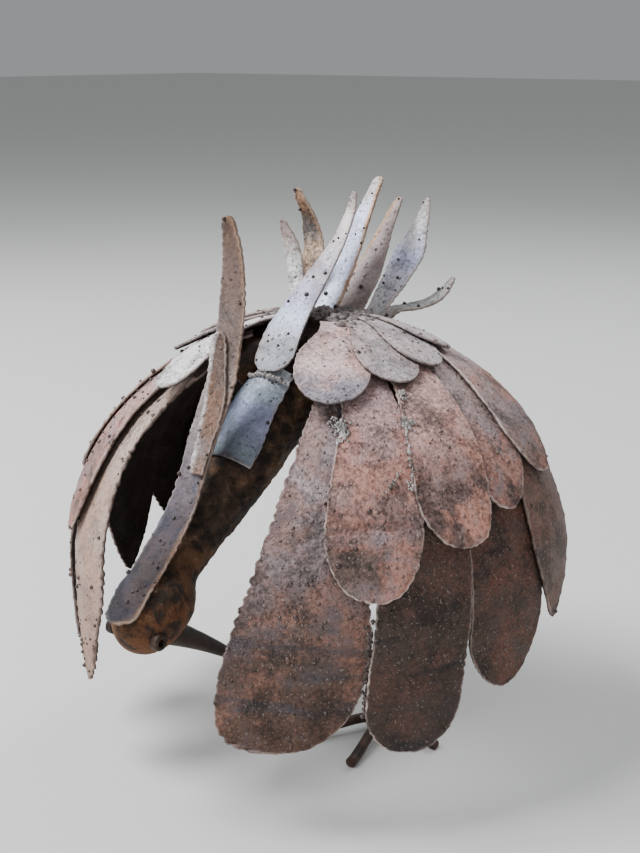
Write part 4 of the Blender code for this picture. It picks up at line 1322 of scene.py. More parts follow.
# The neck's pale crust tops are partly a painted highlight.
NECK_CRUST = CrustFinish("neck_crust", (0.016, 0.011, 0.009), (0.085, 0.047, 0.030), (0.20, 0.090, 0.036),
    (0.34, 0.26, 0.20), 0.6, 0.60, depth=0.0028, head_rust=(0.130, 0.044, 0.011))
MOUND_CRUST = CrustFinish("body_crust", seed=5.0)
COLLAR_CRUST = CrustFinish("grey_crust", (0.08, 0.068, 0.066), (0.22, 0.19, 0.185), (0.24, 0.16, 0.13),
    (0.50, 0.46, 0.45), 0.25, 0.6, seed=9.0, depth=0.0010)
WELD_METAL = CrustFinish("bright_weld", (0.16, 0.145, 0.14), (0.42, 0.385, 0.375), (0.30, 0.20, 0.16),
    (0.85, 0.83, 0.83), 0.2, 0.8, (0.30, 0.5), 0.4, 0.0008, 13.0)
# The beads' pale colour is partly a painted highlight.
BEAD_METAL = CrustFinish("spatter_beads", (0.055, 0.042, 0.040), (0.135, 0.098, 0.092), (0.20, 0.105, 0.075),
    (0.34, 0.28, 0.26), 0.30, 0.35, (0.26, 0.42), 0.55, 0.0002, 17.0)
CREST_BEADS = replace(BEAD_METAL, name="crest_beads", dark=(0.030, 0.026, 0.027), brown=(0.085, 0.070, 0.070),
    rust=(0.14, 0.075, 0.045), seed=18.0)
ROD_FINISH = CrustFinish("rod_rust", (0.028, 0.017, 0.016), (0.075, 0.042, 0.036), (0.12, 0.055, 0.035),
    (0.20, 0.15, 0.14), 0.35, 0.3, (0.45, 0.75), 0.4, 0.0005, 21.0)
BEAK_FINISH = CrustFinish("beak_brown", (0.014, 0.006, 0.003), (0.030, 0.012, 0.006), (0.060, 0.025, 0.010),
    (0.08, 0.05, 0.035), 0.3, 0.15, (0.35, 0.60), 0.5, 0.0004, 25.0)
EYE_FINISH = CrustFinish("eye_rust", (0.012, 0.007, 0.005), (0.040, 0.020, 0.012), (0.10, 0.042, 0.018),
    (0.20, 0.14, 0.10), 0.5, 0.3, (0.45, 0.75), 0.4, 0.0004, 29.0)


class NeckAndHead(Tube):
    """Crusted neck and head in one skin."""

    neck_rings = 130
    head_rings = 62
    end_rings = 16
    end_from = 0.9
    end_reach = 0.095
    ring_sides = 120

    def __init__(self) -> None:
        """Work out the fine rings of the neck and head."""
        line, shares = NECK.line(), np.linspace(0, 1, self.neck_rings)
        neck = curve_through(line, shares)
        neck_sizes = np.interp(shares, np.linspace(0, 1, len(NECK.radii)), NECK.radii)
        end_shares = self.end_from + self.end_reach * np.sin(np.linspace(0.1, 1.5, self.end_rings))
        head_shares = np.concatenate([np.linspace(0.02, self.end_from, self.head_rings), end_shares])
        head_sizes = NECK.head_size(head_shares)
        centres = np.concatenate([neck, NECK.head_point(head_shares)])
        radii = np.concatenate([neck_sizes, head_sizes])
        super().__init__("neck_and_head", centres, radii, self.ring_sides, NECK_CRUST, Slot.CRUST)
        self.head_from = len(neck) / len(centres)

    def skin(self, points: Array, normals: Array, share: Array) -> Array:
        """Deep crust on the neck, shallower on the head, pressed flat under the plates on top."""
        lumps = CRUST.rough(points, 0.0085, 3)
        ridges = 1 - np.abs(CRUST.at(points + 0.5, 0.0042)) * 2
        fine = CRUST.rough(points, 0.0017, 2)
        strength = mix(1.0, 0.42, smooth((share - self.head_from + 0.04) / 0.12))
        relief = (0.00095 * lumps + 0.00045 * ridges + 0.00025 * fine - 0.0003) * strength
        top = smooth((normals @ NECK.up - 0.25) / 0.3)
        return np.where(relief > 0, relief * (1 - top), relief)


class Rods:
    """Beak, legs and toes, cut from rod."""

    foot_half_spacing = 0.033
    foot_back = 0.023
    hip_half_spacing = 0.020
    hip_back = 0.012
    hip_level = 0.200
    ankle_radius = 0.0092
    ankle_height = 0.010
    ankle_top = 0.022
    leg_radius = 0.0042
    leg_bow = 0.002
    toe_radius = 0.0030
    toe_rise = 0.0045
    clearance = 0.0001
    toe_arch = ((0.0, 0.75), (0.25, 1.0), (0.5, 0.8), (0.75, 0.2), (0.9, 0.0), (1.0, 0.0))
    toes = (("front_toe", 0.016, -0.055), ("inner_toe", -0.026, -0.052), ("outer_toe", 0.040, -0.008),
            ("hind_toe", -0.006, 0.034))
    beak_sides = 40
    leg_sides = 36
    toe_sides = 24
    beak_pitch = math.radians(32.0)
    beak_length = 0.070
    beak_arch = 0.0012
    beak_at = 0.60
    beak_seat = 0.78
    beak_base = 0.0076
    beak_tip = 0.0021
    beak_taper = 0.85
    beak_rounding = (0.97, 0.88, 0.70, 0.40)

    def beak(self) -> bpy.types.Object:
        """Make the tapered beak."""
        direction = np.array((0, math.cos(self.beak_pitch), -math.sin(self.beak_pitch)))
        start = NECK.head_point(self.beak_at) - NECK.up * NECK.head_size(self.beak_at) * self.beak_seat
        share = np.linspace(0, 1, 60)
        centres = start + direction * self.beak_length * share[:, None]
        centres[:, 2] += self.beak_arch * np.sin(math.pi * share)
        radii = mix(self.beak_base, self.beak_tip, share**self.beak_taper)
        radii[-len(self.beak_rounding):] *= self.beak_rounding
        return Tube("beak", centres, radii, self.beak_sides, BEAK_FINISH, Slot.BEAK).build()

    def foot(self, side: Side) -> Array:
        """Point on the ground under an ankle."""
        x = SHELL.axis_x + side.value * self.foot_half_spacing
        return np.array((x, SHELL.axis_y + self.foot_back, 0))

    def leg(self, side: Side) -> bpy.types.Object:
        """Make a leg with its ankle weld."""
        foot = self.foot(side)
        hip_x = SHELL.axis_x + side.value * self.hip_half_spacing
        hip = np.array((hip_x, SHELL.axis_y + self.hip_back, self.hip_level))
        top = foot + (0, 0, self.ankle_top)
        knee = mix(top, hip, 0.5) + (side.value * self.leg_bow, self.leg_bow, 0)
        rod = curve_through(np.stack([top, knee, hip]), np.linspace(0, 1, 70))
        upper = np.linspace(0.0015, self.ankle_top, 22, endpoint=False)
        heights = np.concatenate([[0, 0.0003, 0.0008], upper])
        ankle = foot + heights[:, None] * np.array((0, 0, 1.0))
        bulge = smooth((self.ankle_top - heights) / (self.ankle_top - self.ankle_height * 0.8))
        ankle_radii = mix(self.leg_radius, self.ankle_radius, bulge)
        ankle_radii[:3] -= (0.0008, 0.0003, 0.0001)
        centres = np.concatenate([ankle, rod])
        radii = np.concatenate([ankle_radii, np.full(len(rod), self.leg_radius)])
        return Tube(f"{side.name.lower()}_leg", centres, radii, self.leg_sides, ROD_FINISH, Slot.ROD).build()

    def toe(self, side: Side, name: str, outward: float, back: float) -> bpy.types.Object:
        """Make one toe, cut off square at its end."""
        reach = np.array((side.value * outward, back, 0))
        start = unit(reach) * self.ankle_radius * 0.6
        share = np.linspace(0, 1, 44)
        knots = np.array(self.toe_arch)
        lift = np.interp(share, knots[:, 0], knots[:, 1])
        lift = np.convolve(np.pad(lift, 3, "edge"), np.ones(7) / 7, "valid")
        level = self.toe_radius + self.clearance + self.toe_rise * lift
        centres = self.foot(side) + mix(start, reach, share[:, None])
        centres[:, 2] = level
        radii = np.full(len(share), self.toe_radius - self.clearance)
        centres = np.concatenate([centres, centres[-1:] + unit(reach) * 0.0002])
        radii = np.concatenate([radii, radii[-1:] - 0.0005])
        whole = f"{side.name.lower()}_{name}"
        return Tube(whole, centres, radii, self.toe_sides, ROD_FINISH, Slot.ROD).build()

    def build(self) -> None:
        """Make the beak, both legs and all the toes."""
        self.beak()
        for side in Side:
            self.leg(side)
            for name, outward, back in self.toes:
                self.toe(side, name, outward, back)


class Crest:
    """Plumes that stand up from the weld ridge on the back.

    A row has a plume's name, its points in millimetres from the crown, its widths at them in millimetres,
    the direction across it, the radius that it is bent to, its finish and its cut.
    """

    first_seed = 50
    cut = TorchCut(wave=0.0040, depth=0.0006, reach=0.0025, slag=0.0003)
    shallow = (0.060,)
    narrow = (0.040,)
    rows = (
        ("crest_plume_front", ((3, -45.5, -13.2), (-1, -31, 4.5), (-2, -16, 18.5), (-2, -2, 30),
                               (-2, 10, 40.5), (-2, 20.5, 51.5), (-2, 29, 64), (-2, 32, 75)),
         (25, 25, 20, 16, 12, 8, 6, 3), (1, 0, 0), shallow, FRONT_PLUME, replace(cut, depth=0.0003)),
        ("crest_plume_second", ((-3, 4, 6), (-4, 12, 15.5), (-5, 20.5, 26), (-5, 27.5, 35), (-5, 35.5, 45.5),
                                (-5, 42, 57.5), (-5, 50, 69), (-5, 58.5, 81)),
         (13, 15, 16, 15, 13, 11, 9, 5), (1, 0, 0), shallow, SECOND_PLUME, replace(cut, ragged=(0.3, 1.2))),
        ("crest_plume_far", ((-14, 3, 5), (-18, 5, 15), (-23, 7, 25), (-25, 7.5, 37), (-25, 4.5, 48),
                             (-26, 1, 56), (-27, -1, 61)),
         (5.5, 8, 8.5, 10, 8, 5, 2.5), (1, 0.3, 0), narrow, FAR_PLUME, cut),
        ("crest_plume_far_tall", ((-15.5, 11, 4), (-17, 11, 20), (-17, 12, 35.5), (-16, 14, 43.5),
                                  (-16, 12.5, 52.5), (-17, 10, 63.5), (-18, 5, 72), (-20, 4, 78)),
         (7, 10, 12, 12, 11, 8, 6, 3.5), (1, 0.2, 0), narrow, FAR_TALL_PLUME, cut),
        ("crest_plume_middle", ((-3, 22, 2), (-3, 29, 10), (-3, 43, 28), (-3, 54, 39.5), (-3, 63, 51.5),
                                (-3, 69.5, 60), (-3, 76.5, 68)),
         (16, 19, 20, 14, 9, 7, 3.5), (1, 0, 0), (0.050,), MIDDLE_PLUME, cut),
        ("crest_plume_rear", ((3.5, 39, 0), (4, 46, 8.5), (5, 63.5, 26.5), (7, 73.5, 39.5), (9, 79.5, 51.5),
                              (10, 83, 60), (11, 84.5, 68)),
         (11, 13, 19, 20, 11, 6.5, 3.5), (1, 0, 0), (0.050,), REAR_PLUME, replace(cut, depth=0.0009)),
        ("crest_plume_low", ((0, 51, -7), (6, 56.5, 6), (13, 67, 8), (19, 76, 10), (25, 81, 15),
                             (30, 85.5, 23.5)),
         (12, 13, 14, 13, 10, 4), (0.87, -0.49, 0), (0.030,), LOW_PLUME, cut),
    )

    def plans(self) -> list[tuple[PlumePlan, Finish, TorchCut]]:
        """Plan, finish and cut of each plume."""
        plans = []
        for name, points, widths, side, dishes, finish, cut in self.rows:
            sizes = tuple(width * MM for width in widths)
            plan = PlumePlan(name, from_crown(points), sizes, side, dishes, name == "crest_plume_front")
            plans.append((plan, finish, cut))
        return plans

    def build(self) -> list[Plume]:
        """Make the crest's plumes."""
        plumes = []
        for number, (plan, finish, cut) in enumerate(self.plans()):
            plume = Plume(plan, finish, Slot.CREST, cut, self.first_seed + number)
            plume.build()
            plumes.append(plume)
        return plumes


class CrownPlumes:
    """Long strip that caps the head and stands free, and the short one beside it.

    free and small are points in millimetres from the crown, and the other lengths are in metres.
    """

    cut = TorchCut(wave=0.0045, depth=0.0008, reach=0.0025, slag=0.0006, ragged=(1.0, 0.9))
    head_shares = (0.93, 0.78, 0.55, 0.30)
    last_share = 0.80
    offset = SHEET / 2 + 0.00135
    free = ((0, -109.5, -72), (0, -94.5, -42), (0, -79.5, -12), (0, -71.5, 18), (0, -69, 48), (0, -72, 71))
    widths = (0.0175, 0.021, 0.022, 0.021, 0.0175, 0.0175, 0.0190, 0.0175, 0.0145, 0.006)
    dishes = (0.022, 0.022, 0.022, 0.022, 0.026, 0.036, 0.052, 0.060, 0.060, 0.060)
    small = ((5.0, -103.3, -55.9), (4.0, -92.7, -33.4), (1.0, -83.8, -15.6), (-2.2, -78.5, -0.8),
             (-4.0, -75.3, 11.8))
    small_widths = (0.008, 0.012, 0.0125, 0.0105, 0.0070)
    small_across = (1, 0.08, 0)
    small_dish = (0.040,)

    def long_line(self) -> tuple:
        """Points of the long strip's middle line."""
        points = []
        for share in self.head_shares:
            radius = NECK.head_size(min(share, self.last_share))
            points.append(tuple(NECK.head_point(share) + NECK.up * (radius + self.offset)))
        return (*points, *from_crown(self.free))

    def build(self) -> list[Plume]:
        """Make both strips."""
        long_plan = PlumePlan("crown_plume", self.long_line(), self.widths, (1, 0, 0), self.dishes, True)
        small_plan = PlumePlan("crown_plume_small", from_crown(self.small), self.small_widths,
                               self.small_across, self.small_dish)
        plumes = [Plume(long_plan, CROWN_TINT, Slot.BLUED, self.cut, 61),
                  Plume(small_plan, SHORT_CROWN_RUST, Slot.BLUED, self.cut, 62)]
        for plume in plumes:
            plume.build()
        return plumes


class NapePlate(Sheet):
    """Blued plate wrapped over the upper neck."""

    shares = (0.14, 0.26, 0.38, 0.50)
    swing = (-7.0, -6.0, 0.0, 8.0)
    width = 0.038
    end_taper = 0.35
    taper_from = 0.55
    offset = SHEET / 2 + 0.00085

    def __init__(self) -> None:
        """Work out the plate's length round the neck."""
        super().__init__("nape_plate", NAPE_TINT, Slot.BLUED, TorchCut(depth=0.0006), 70)
        line = NECK.line()
        fine = np.linspace(self.shares[0], self.shares[-1], 60)
        centres = curve_through(line, fine)
        self.travel = np.concatenate([[0], np.cumsum(np.linalg.norm(np.diff(centres, axis=0), axis=1))])
        self.fine = fine

    def stations(self) -> Array:
        """Even rows along the plate."""
        return np.linspace(0, self.travel[-1], int(self.travel[-1] / self.spacing) + 2)

    def half_widths(self, stations: Array) -> Array:
        """Half widths, drawn in at both ends."""
        along = stations / self.travel[-1]
        taper = 1 - self.end_taper * np.clip(2 * np.abs(along - 0.5) - self.taper_from, 0, None)
        return self.width / 2 * taper

    def place(self, along: Array, across: Array, height: Array) -> Array:
        """Points of the plate round the neck."""
        line = NECK.line()
        share = np.interp(along, self.travel, self.fine)
        ahead = direction_along(line, share)
        side = np.array((1.0, 0, 0))
        normal = np.cross(side, ahead)
        normal = normal * np.where(normal[..., 2:] < 0, -1, 1)
        radius = np.interp(share, np.linspace(0, 1, len(NECK.radii)), NECK.radii)
        run = along / self.travel[-1]
        middle = np.radians(np.interp(run, np.linspace(0, 1, len(self.swing)), self.swing))
        turn = middle + across / (radius + self.offset)
        reach = radius + self.offset + height
        return (curve_through(line, share) + normal * (reach * np.cos(turn))[..., None]
                + side * (reach * np.sin(turn))[..., None])


class BodyMound(Piece):
    """Mound of weld under the feathers, made from its solid with a rougher skin."""

    voxel = 0.0022
    merge = 1e-6
    relief = 0.0012
    wave = 0.008
    sunk = 0.0004
    furthest_out = 0.0002

    def build(self, frame: dict) -> bpy.types.Object:
        """Remesh a copy of the solid, roughen it and hide the solid."""
        source = frame["nodes"]["body"]
        mesh = source.data.copy()
        made = add_object("body_crust_mound", mesh)
        work = bmesh.new()
        work.from_mesh(mesh)
        bmesh.ops.remove_doubles(work, verts=work.verts, dist=self.merge)
        work.to_mesh(mesh)
        work.free()
        remesh = made.modifiers.new("even", "REMESH")
        remesh.mode = "VOXEL"
        remesh.voxel_size = self.voxel
        graph = bpy.context.evaluated_depsgraph_get()
        made.data = bpy.data.meshes.new_from_object(made.evaluated_get(graph))
        made.modifiers.clear()
        self.roughen(made.data)
        made.data.shade_smooth()
        self.dress(made, MOUND_CRUST, Slot.CRUST)
        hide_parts("body")
        return made

    def roughen(self, mesh: bpy.types.Mesh) -> None:
        """Move the skin in and out, and never far out where feathers lie on it."""
        count = len(mesh.vertices)
        points, normals = np.empty(count * 3), np.empty(count * 3)
        mesh.vertices.foreach_get("co", points)
        mesh.vertices.foreach_get("normal", normals)
        points, normals = points.reshape(-1, 3), normals.reshape(-1, 3)
        relief = self.relief * CRUST.rough(points, self.wave, 3) - self.sunk
        relief = np.minimum(relief, self.furthest_out)
        mesh.vertices.foreach_set("co", (points + normals * relief[:, None]).ravel())
        mesh.update()


class Eye(Piece):
    """Ring let into the side of the head, with an open bore."""

    radius = 0.0042
    bore = 0.0019
    thickness = 0.0045
    share = 0.83
    seat = 0.0010
    sides = 40
    corner = 0.0006
    corner_pull = 0.35
    relief = 0.0002
    wave = 0.002

    def profile(self) -> Array:
        """Section of the ring with rounded corners: radius and depth."""
        corners = np.array([(self.radius, 0), (self.radius, self.thickness), (self.bore, self.thickness),
                            (self.bore, 0)])
        section = []
        for here, before, after in zip(corners, np.roll(corners, 1, axis=0), np.roll(corners, -1, axis=0)):
            start = here + unit(before - here) * self.corner
            end = here + unit(after - here) * self.corner
            section += [start, mix(mix(start, end, 0.5), here, self.corner_pull), end, mix(here, after, 0.5)]
        return np.array(section)

    def build(self, side: Side) -> bpy.types.Object:
        """Make the ring and hide its solid."""
        centre = NECK.head_point(self.share) + (side.value * (NECK.head_size(self.share) - self.seat), 0, 0)
        section = self.profile()
        turns = np.linspace(0, 2 * math.pi, self.sides, endpoint=False)
        radius, depth = section[:, None, 0], section[:, None, 1]
        out = depth * side.value + np.zeros(self.sides)
        points = np.stack([out, radius * np.cos(turns), radius * np.sin(turns)], axis=-1)
        points = points + centre
        points = points + self.relief * CRUST.rough(points, self.wave, 2)[..., None] * (0, 1, 1)
        index = np.arange(len(section) * self.sides).reshape(len(section), self.sides)
        following = np.roll(index, -1, axis=1)
        below, below_next = np.roll(index, -1, axis=0), np.roll(following, -1, axis=0)
        faces = np.stack([index, following, below_next, below], axis=-1).reshape(-1, 4).tolist()
        name = f"{side.name.lower()}_eye"
        made = self.finish_object(name + "_ring", points, faces, EYE_FINISH, Slot.EYE)
        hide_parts(name)
        return made


class GeoTree(Graph):
    """Geometry Nodes tree with named inputs, run on a source mesh and applied."""

    def __init__(self, name: str, inputs: dict[str, str]) -> None:
        """Make a tree whose inputs are named and typed."""
        group = bpy.data.node_groups.new(name, "GeometryNodeTree")
        super().__init__(group)
        group.interface.new_socket("Geometry", in_out="OUTPUT", socket_type="NodeSocketGeometry")
        group.interface.new_socket("Geometry", in_out="INPUT", socket_type="NodeSocketGeometry")
        for key, kind in inputs.items():
            group.interface.new_socket(key, in_out="INPUT", socket_type=kind)
        self.entry = self.node("NodeGroupInput")

    def given(self, name: str) -> Sock:
        """One of the tree's inputs."""
        return Sock(self, self.entry.outputs[name])

    def close(self, geometry: Sock) -> None:
        """Dress the geometry and lead it to the tree's output."""
        shaded = self.out("GeometryNodeSetShadeSmooth", 0, None, {"Geometry": geometry})
        inputs = {"Geometry": shaded, "Material": self.given("Finish")}
        dressed = self.out("GeometryNodeSetMaterial", 0, None, inputs)
        self.node("NodeGroupOutput", None, {"Geometry": dressed})

    def stored(self, name: str) -> Sock:
        """Number that the mesh stores at each point."""
        settings = {"data_type": "FLOAT"}
        return self.out("GeometryNodeInputNamedAttribute", "Attribute", settings, {"Name": name})

    def apply(self, made: bpy.types.Object, values: dict) -> bpy.types.Object:
        """Run the tree on an object.

        Args:
            made: object whose mesh the tree reads.
            values: a value for each named input.

        Returns:
            The same object with the result as its plain mesh.
        """
        modifier = made.modifiers.new(self.tree.name, "NODES")
        modifier.node_group = self.tree
        for item in self.tree.interface.items_tree:
            if item.item_type == "SOCKET" and item.in_out == "INPUT" and item.name in values:
                modifier[item.identifier] = values[item.name]
        graph = bpy.context.evaluated_depsgraph_get()
        mesh = bpy.data.meshes.new_from_object(made.evaluated_get(graph))
        made.modifiers.clear()
        made.data = mesh
        return made


@dataclass(frozen=True)
class Shower:
    """One shower of beads: how many on a square metre where they are thickest, their radii and their bias.

    A higher bias makes more of the beads small. near_edge adds beads along the cut edges.
    """

    density: float
    smallest: float
    largest: float
    bias: float
    seed: int
    near_edge: float = 0.0


FINE_SHOWER = Shower(20000.0, 0.00025, 0.00085, 2.0, 2, 1.5)
LARGE_SHOWER = Shower(8500.0, 0.00070, 0.00150, 1.35, 7, 0.5)


class Spatter(Piece):
    """Round beads that the welding threw on the sheets.

    sunk is a share of a bead's width, cloud_size is in metres and edge_reach in millimetres.
    """

    sunk = 0.25
    bead_sides = 8
    bead_rings = 5
    cloud_size = 0.022
    edge_reach = 1.3

    def __init__(self) -> None:
        """Build the tree that drops beads on a surface."""
        tree = GeoTree("drop_beads", {"Density": "NodeSocketFloat", "Smallest": "NodeSocketFloat",
                                      "Largest": "NodeSocketFloat", "Bias": "NodeSocketFloat",
                                      "Lift": "NodeSocketFloat", "Seed": "NodeSocketInt",
                                      "Finish": "NodeSocketMaterial"})
        density = tree.stored("spatter") * tree.given("Density")
        inputs = {"Mesh": tree.given("Geometry"), "Density": density, "Seed": tree.given("Seed")}
        spread = tree.node("GeometryNodeDistributePointsOnFaces", {"distribute_method": "RANDOM"}, inputs)
        chance = tree.out("FunctionNodeRandomValue", 1, {"data_type": "FLOAT"}, {2: 0.0, 3: 1.0, "Seed": 4})
        size = (chance ** tree.given("Bias")).between(tree.given("Smallest"), tree.given("Largest"))
        outward = {0: Sock(tree, spread.outputs["Normal"]), "Scale": size * tree.given("Lift")}
        step = tree.out("ShaderNodeVectorMath", 0, {"operation": "SCALE"}, outward)
        points = Sock(tree, spread.outputs["Points"])
        raised = tree.out("GeometryNodeSetPosition", 0, None, {"Geometry": points, "Offset": step})
        inputs = {"Radius": 1.0, "Segments": self.bead_sides, "Rings": self.bead_rings}
        bead = tree.out("GeometryNodeMeshUVSphere", 0, None, inputs)
        inputs = {"Points": raised, "Instance": bead, "Scale": size}
        beads = tree.out("GeometryNodeInstanceOnPoints", 0, None, inputs)
        tree.close(tree.out("GeometryNodeRealizeInstances", 0, None, {"Geometry": beads}))
        self.tree = tree

    def drop(self, name: str, sheets: list[Sheet], shower: Shower, slot: Slot,
             finish: Finish) -> bpy.types.Object:
        """Drop beads on the upper faces of some sheets.

        Args:
            name: name of the beads' object.
            sheets: the sheets, already built.
            shower: how many beads fall and how large they are.
            slot: the record's material slot.
            finish: the finish that the beads wear.

        Returns:
            One object with all the beads.
        """
        points, faces, shares, start = [], [], [], 0
        for sheet in sheets:
            rows, columns = sheet.upper.shape[:2]
            faces += (grid_faces(rows, columns) + start).tolist()
            points.append(sheet.upper.reshape(-1, 3))
            cloud = smooth(TORCH.rough(sheet.upper + shower.seed, self.cloud_size, 2) * 1.6 + 0.55)
            edge = shower.near_edge * np.exp(-((sheet.inset / self.edge_reach) ** 2))
            shares.append((cloud * (self.weight(sheet) + edge)).ravel())
            start += rows * columns
        mesh = bpy.data.meshes.new(name)
        mesh.from_pydata(np.concatenate(points).tolist(), [], faces)
        made = add_object(name, mesh)
        self.mark(made, "spatter", np.concatenate(shares))
        self.tree.apply(made, {"Density": shower.density, "Smallest": shower.smallest,
                               "Largest": shower.largest, "Bias": shower.bias, "Lift": 0.5 - self.sunk,
                               "Seed": shower.seed, "Finish": finish.material()})
        return self.dress(made, finish, slot)

    @staticmethod
    def weight(sheet: Sheet) -> Array:
        """How thick the beads lie along a sheet."""
        run = sheet.run
        if sheet.name == "left_primary_1":
            return 0.35 + 2.2 * smooth((run - 0.48) / 0.12) * smooth((0.90 - run) / 0.15)
        if sheet.name == "left_median_1":
            return 0.25 + 0.75 * smooth((run - 0.80) / 0.06)
        if "covert" in sheet.name:
            return np.full(run.shape, 0.7)
        if "primary" in sheet.name:
            return 0.30 + 0.30 * smooth((run - 0.6) / 0.2)
        if "median" in sheet.name:
            return 0.30 + 0.35 * smooth(1 - run / 0.5)
        return 0.35 + 0.5 * smooth(1 - run / 0.4)


@dataclass(frozen=True)
class WeldLump:
    """Cluster of weld on the shell: its bearing from the wing's front, arc, height, reach and grains."""

    bearing: float
    arc: float
    height: float
    reach: float
    grains: int
    grain: float


@dataclass(frozen=True)
class WeldRow:
    """Row of grains between two bearings and arcs, with its height, its count and a grain's radius."""

    start: tuple[float, float]
    end: tuple[float, float]
    height: float
    grains: int
    grain: float


class Welds(Piece):
    """Lumps of weld metal, each a cluster of grains run together.

    proud is a share of a grain's radius. collar is the crust round the crest plumes' feet, ridge its tail
    behind them, and foot the bead at the front plume's foot, with its ends left and right of the middle.
    """

    proud = 0.3
    seam_voxel = 0.00026
    foot_voxel = 0.00028
    front_voxel = 0.00030
    collar_voxel = 0.00042
    lumps = (
        WeldLump(39.5, 0.0965, 0.0062, 0.0044, 110, 0.0007),
        WeldLump(40.8, 0.1010, 0.0060, 0.0032, 50, 0.0006),
        WeldLump(39.0, 0.1050, 0.0060, 0.0020, 16, 0.0007),
        WeldLump(59.6, 0.0995, 0.0085, 0.0032, 60, 0.0007),
        WeldLump(63.2, 0.0825, 0.0090, 0.0026, 36, 0.0006),
        WeldLump(76.0, 0.1340, 0.0065, 0.0038, 44, 0.0007),
        WeldLump(55.8, 0.1310, 0.0072, 0.0028, 30, 0.0006),
        WeldLump(36.5, 0.1600, 0.0030, 0.0022, 18, 0.0006),
    )
    rows = (
        WeldRow((48.5, 0.1343), (53.3, 0.1228), 0.0066, 16, 0.0007),
        WeldRow((62.0, 0.0880), (58.0, 0.1060), 0.0085, 12, 0.0006),
        WeldRow((58.0, 0.1060), (55.8, 0.1274), 0.0085, 20, 0.0007),
    )
    front_row = WeldRow((43.9, 0.1960), (43.3, 0.2440), 0.0006, 110, 0.0010)
    collar_grains = 900
    collar_reach = 0.027
    collar_front = 0.010
    collar_height = 0.0125
    ridge_share = 0.45
    ridge_length = 0.062
    ridge_spread = 0.0075
    ridge_bearing = 183
    ridge_height = 0.0135
    foot_grains = 26
    foot_right = -0.0085
    foot_left = 0.0150
    foot_sag = 0.0018
    foot_ahead = 0.0468
    foot_below = 0.0150

    def __init__(self) -> None:
        """Build the tree that runs grains together."""
        tree = GeoTree("run_together", {"Voxel": "NodeSocketFloat", "Finish": "NodeSocketMaterial"})
        radius = tree.stored("grain")
        inputs = {"Mesh": tree.given("Geometry"), "Radius": radius}
        points = tree.out("GeometryNodeMeshToPoints", 0, None, inputs)
        size = {"Points": points, "Radius": radius, "Voxel Size": tree.given("Voxel")}
        volume = tree.out("GeometryNodePointsToVolume", 0, {"resolution_mode": "VOXEL_SIZE"}, size)
        inputs = {"Volume": volume, "Voxel Size": tree.given("Voxel"), "Threshold": 0.1}
        mesh = tree.out("GeometryNodeVolumeToMesh", 0, {"resolution_mode": "VOXEL_SIZE"}, inputs)
        tree.close(mesh)
        self.tree = tree

    def run(self, name: str, points: Array, grains: Array, voxel: float, finish: Finish,
            slot: Slot) -> bpy.types.Object:
        """Make one object of grains that run together.

        Args:
            name: the object's name.
            points: the grains' middles.
            grains: the grains' radii.
            voxel: fineness of the skin.
            finish: the finish that it wears.
            slot: the record's material slot.

        Returns:
            The object.
        """
        mesh = bpy.data.meshes.new(name)
        mesh.from_pydata(points.tolist(), [], [])
        made = add_object(name, mesh)
        self.mark(made, "grain", grains)
        self.tree.apply(made, {"Voxel": voxel, "Finish": finish.material()})
        return self.dress(made, finish, slot)

    def seams(self) -> bpy.types.Object:
        """Make the bright lumps along the near wing's seams."""
        random = np.random.default_rng(12)
        points, grains = [], []
        for lump in self.lumps:
            spread = random.normal(0, 0.5, (lump.grains, 2)) * lump.reach
            radius = SHELL.profile(np.array(lump.arc))[0]
            bearing = lump.bearing + np.degrees(spread[:, 0] / radius)
            sizes = lump.grain * random.uniform(0.6, 1.3, lump.grains)
            lift = lump.height + sizes * self.proud
            points.append(SHELL.point(SHELL.turn + bearing, lump.arc + spread[:, 1], lift))
            grains.append(sizes)
        for row in self.rows:
            beads, sizes = self.chain(random, row)
            points.append(beads)
            grains.append(sizes)
        return self.run("wing_seam_welds", np.concatenate(points), np.concatenate(grains),
                        self.seam_voxel, WELD_METAL, Slot.WING)

    def chain(self, random: np.random.Generator, row: WeldRow) -> tuple[Array, Array]:
        """Middles and radii of a row's grains."""
        share = np.linspace(0, 1, row.grains) + random.normal(0, 0.03, row.grains)
        bearing = mix(row.start[0], row.end[0], share) + random.normal(0, 0.35, row.grains)
        sizes = row.grain * random.uniform(0.55, 1.25, row.grains)
        arc = mix(row.start[1], row.end[1], share)
        return SHELL.point(SHELL.turn + bearing, arc, row.height + sizes * self.proud), sizes

    def front_seam(self) -> bpy.types.Object:
        """Make the brown slag that runs down between the two front primaries."""
        random = np.random.default_rng(23)
        points, sizes = self.chain(random, self.front_row)
        return self.run("front_seam_slag", points, sizes, self.front_voxel, BEAD_METAL, Slot.WING)

    def collar(self) -> bpy.types.Object:
        """Make the granular crust round the feet of the crest plumes."""
        random = np.random.default_rng(31)
        count = self.collar_grains
        bearing = random.uniform(0, 360, count)
        arc = np.sqrt(random.uniform(0, 1, count)) * self.collar_reach
        behind = random.uniform(0, 1, count) < self.ridge_share
        arc = np.where(behind, random.uniform(0.0, self.ridge_length, count), arc)
        drift = random.normal(0, self.ridge_spread, count)
        ridge_bearing = self.ridge_bearing + np.degrees(drift / np.maximum(arc, 0.008))
        bearing = np.where(behind, ridge_bearing, bearing)
        ahead = np.cos(np.radians(bearing)) > 0.55
        keep = ~(ahead & (arc > self.collar_front))
        sizes = random.uniform(0.0009, 0.0024, count)
        top = np.where(behind, self.ridge_height * (1 - arc / 0.09), self.collar_height)
        lift = top * (1 - 0.25 * random.uniform(0, 1, count))
        points = SHELL.point(bearing, arc, lift)
        return self.run("crest_weld_collar", points[keep], sizes[keep], self.collar_voxel, COLLAR_CRUST,
                        Slot.CRUST)

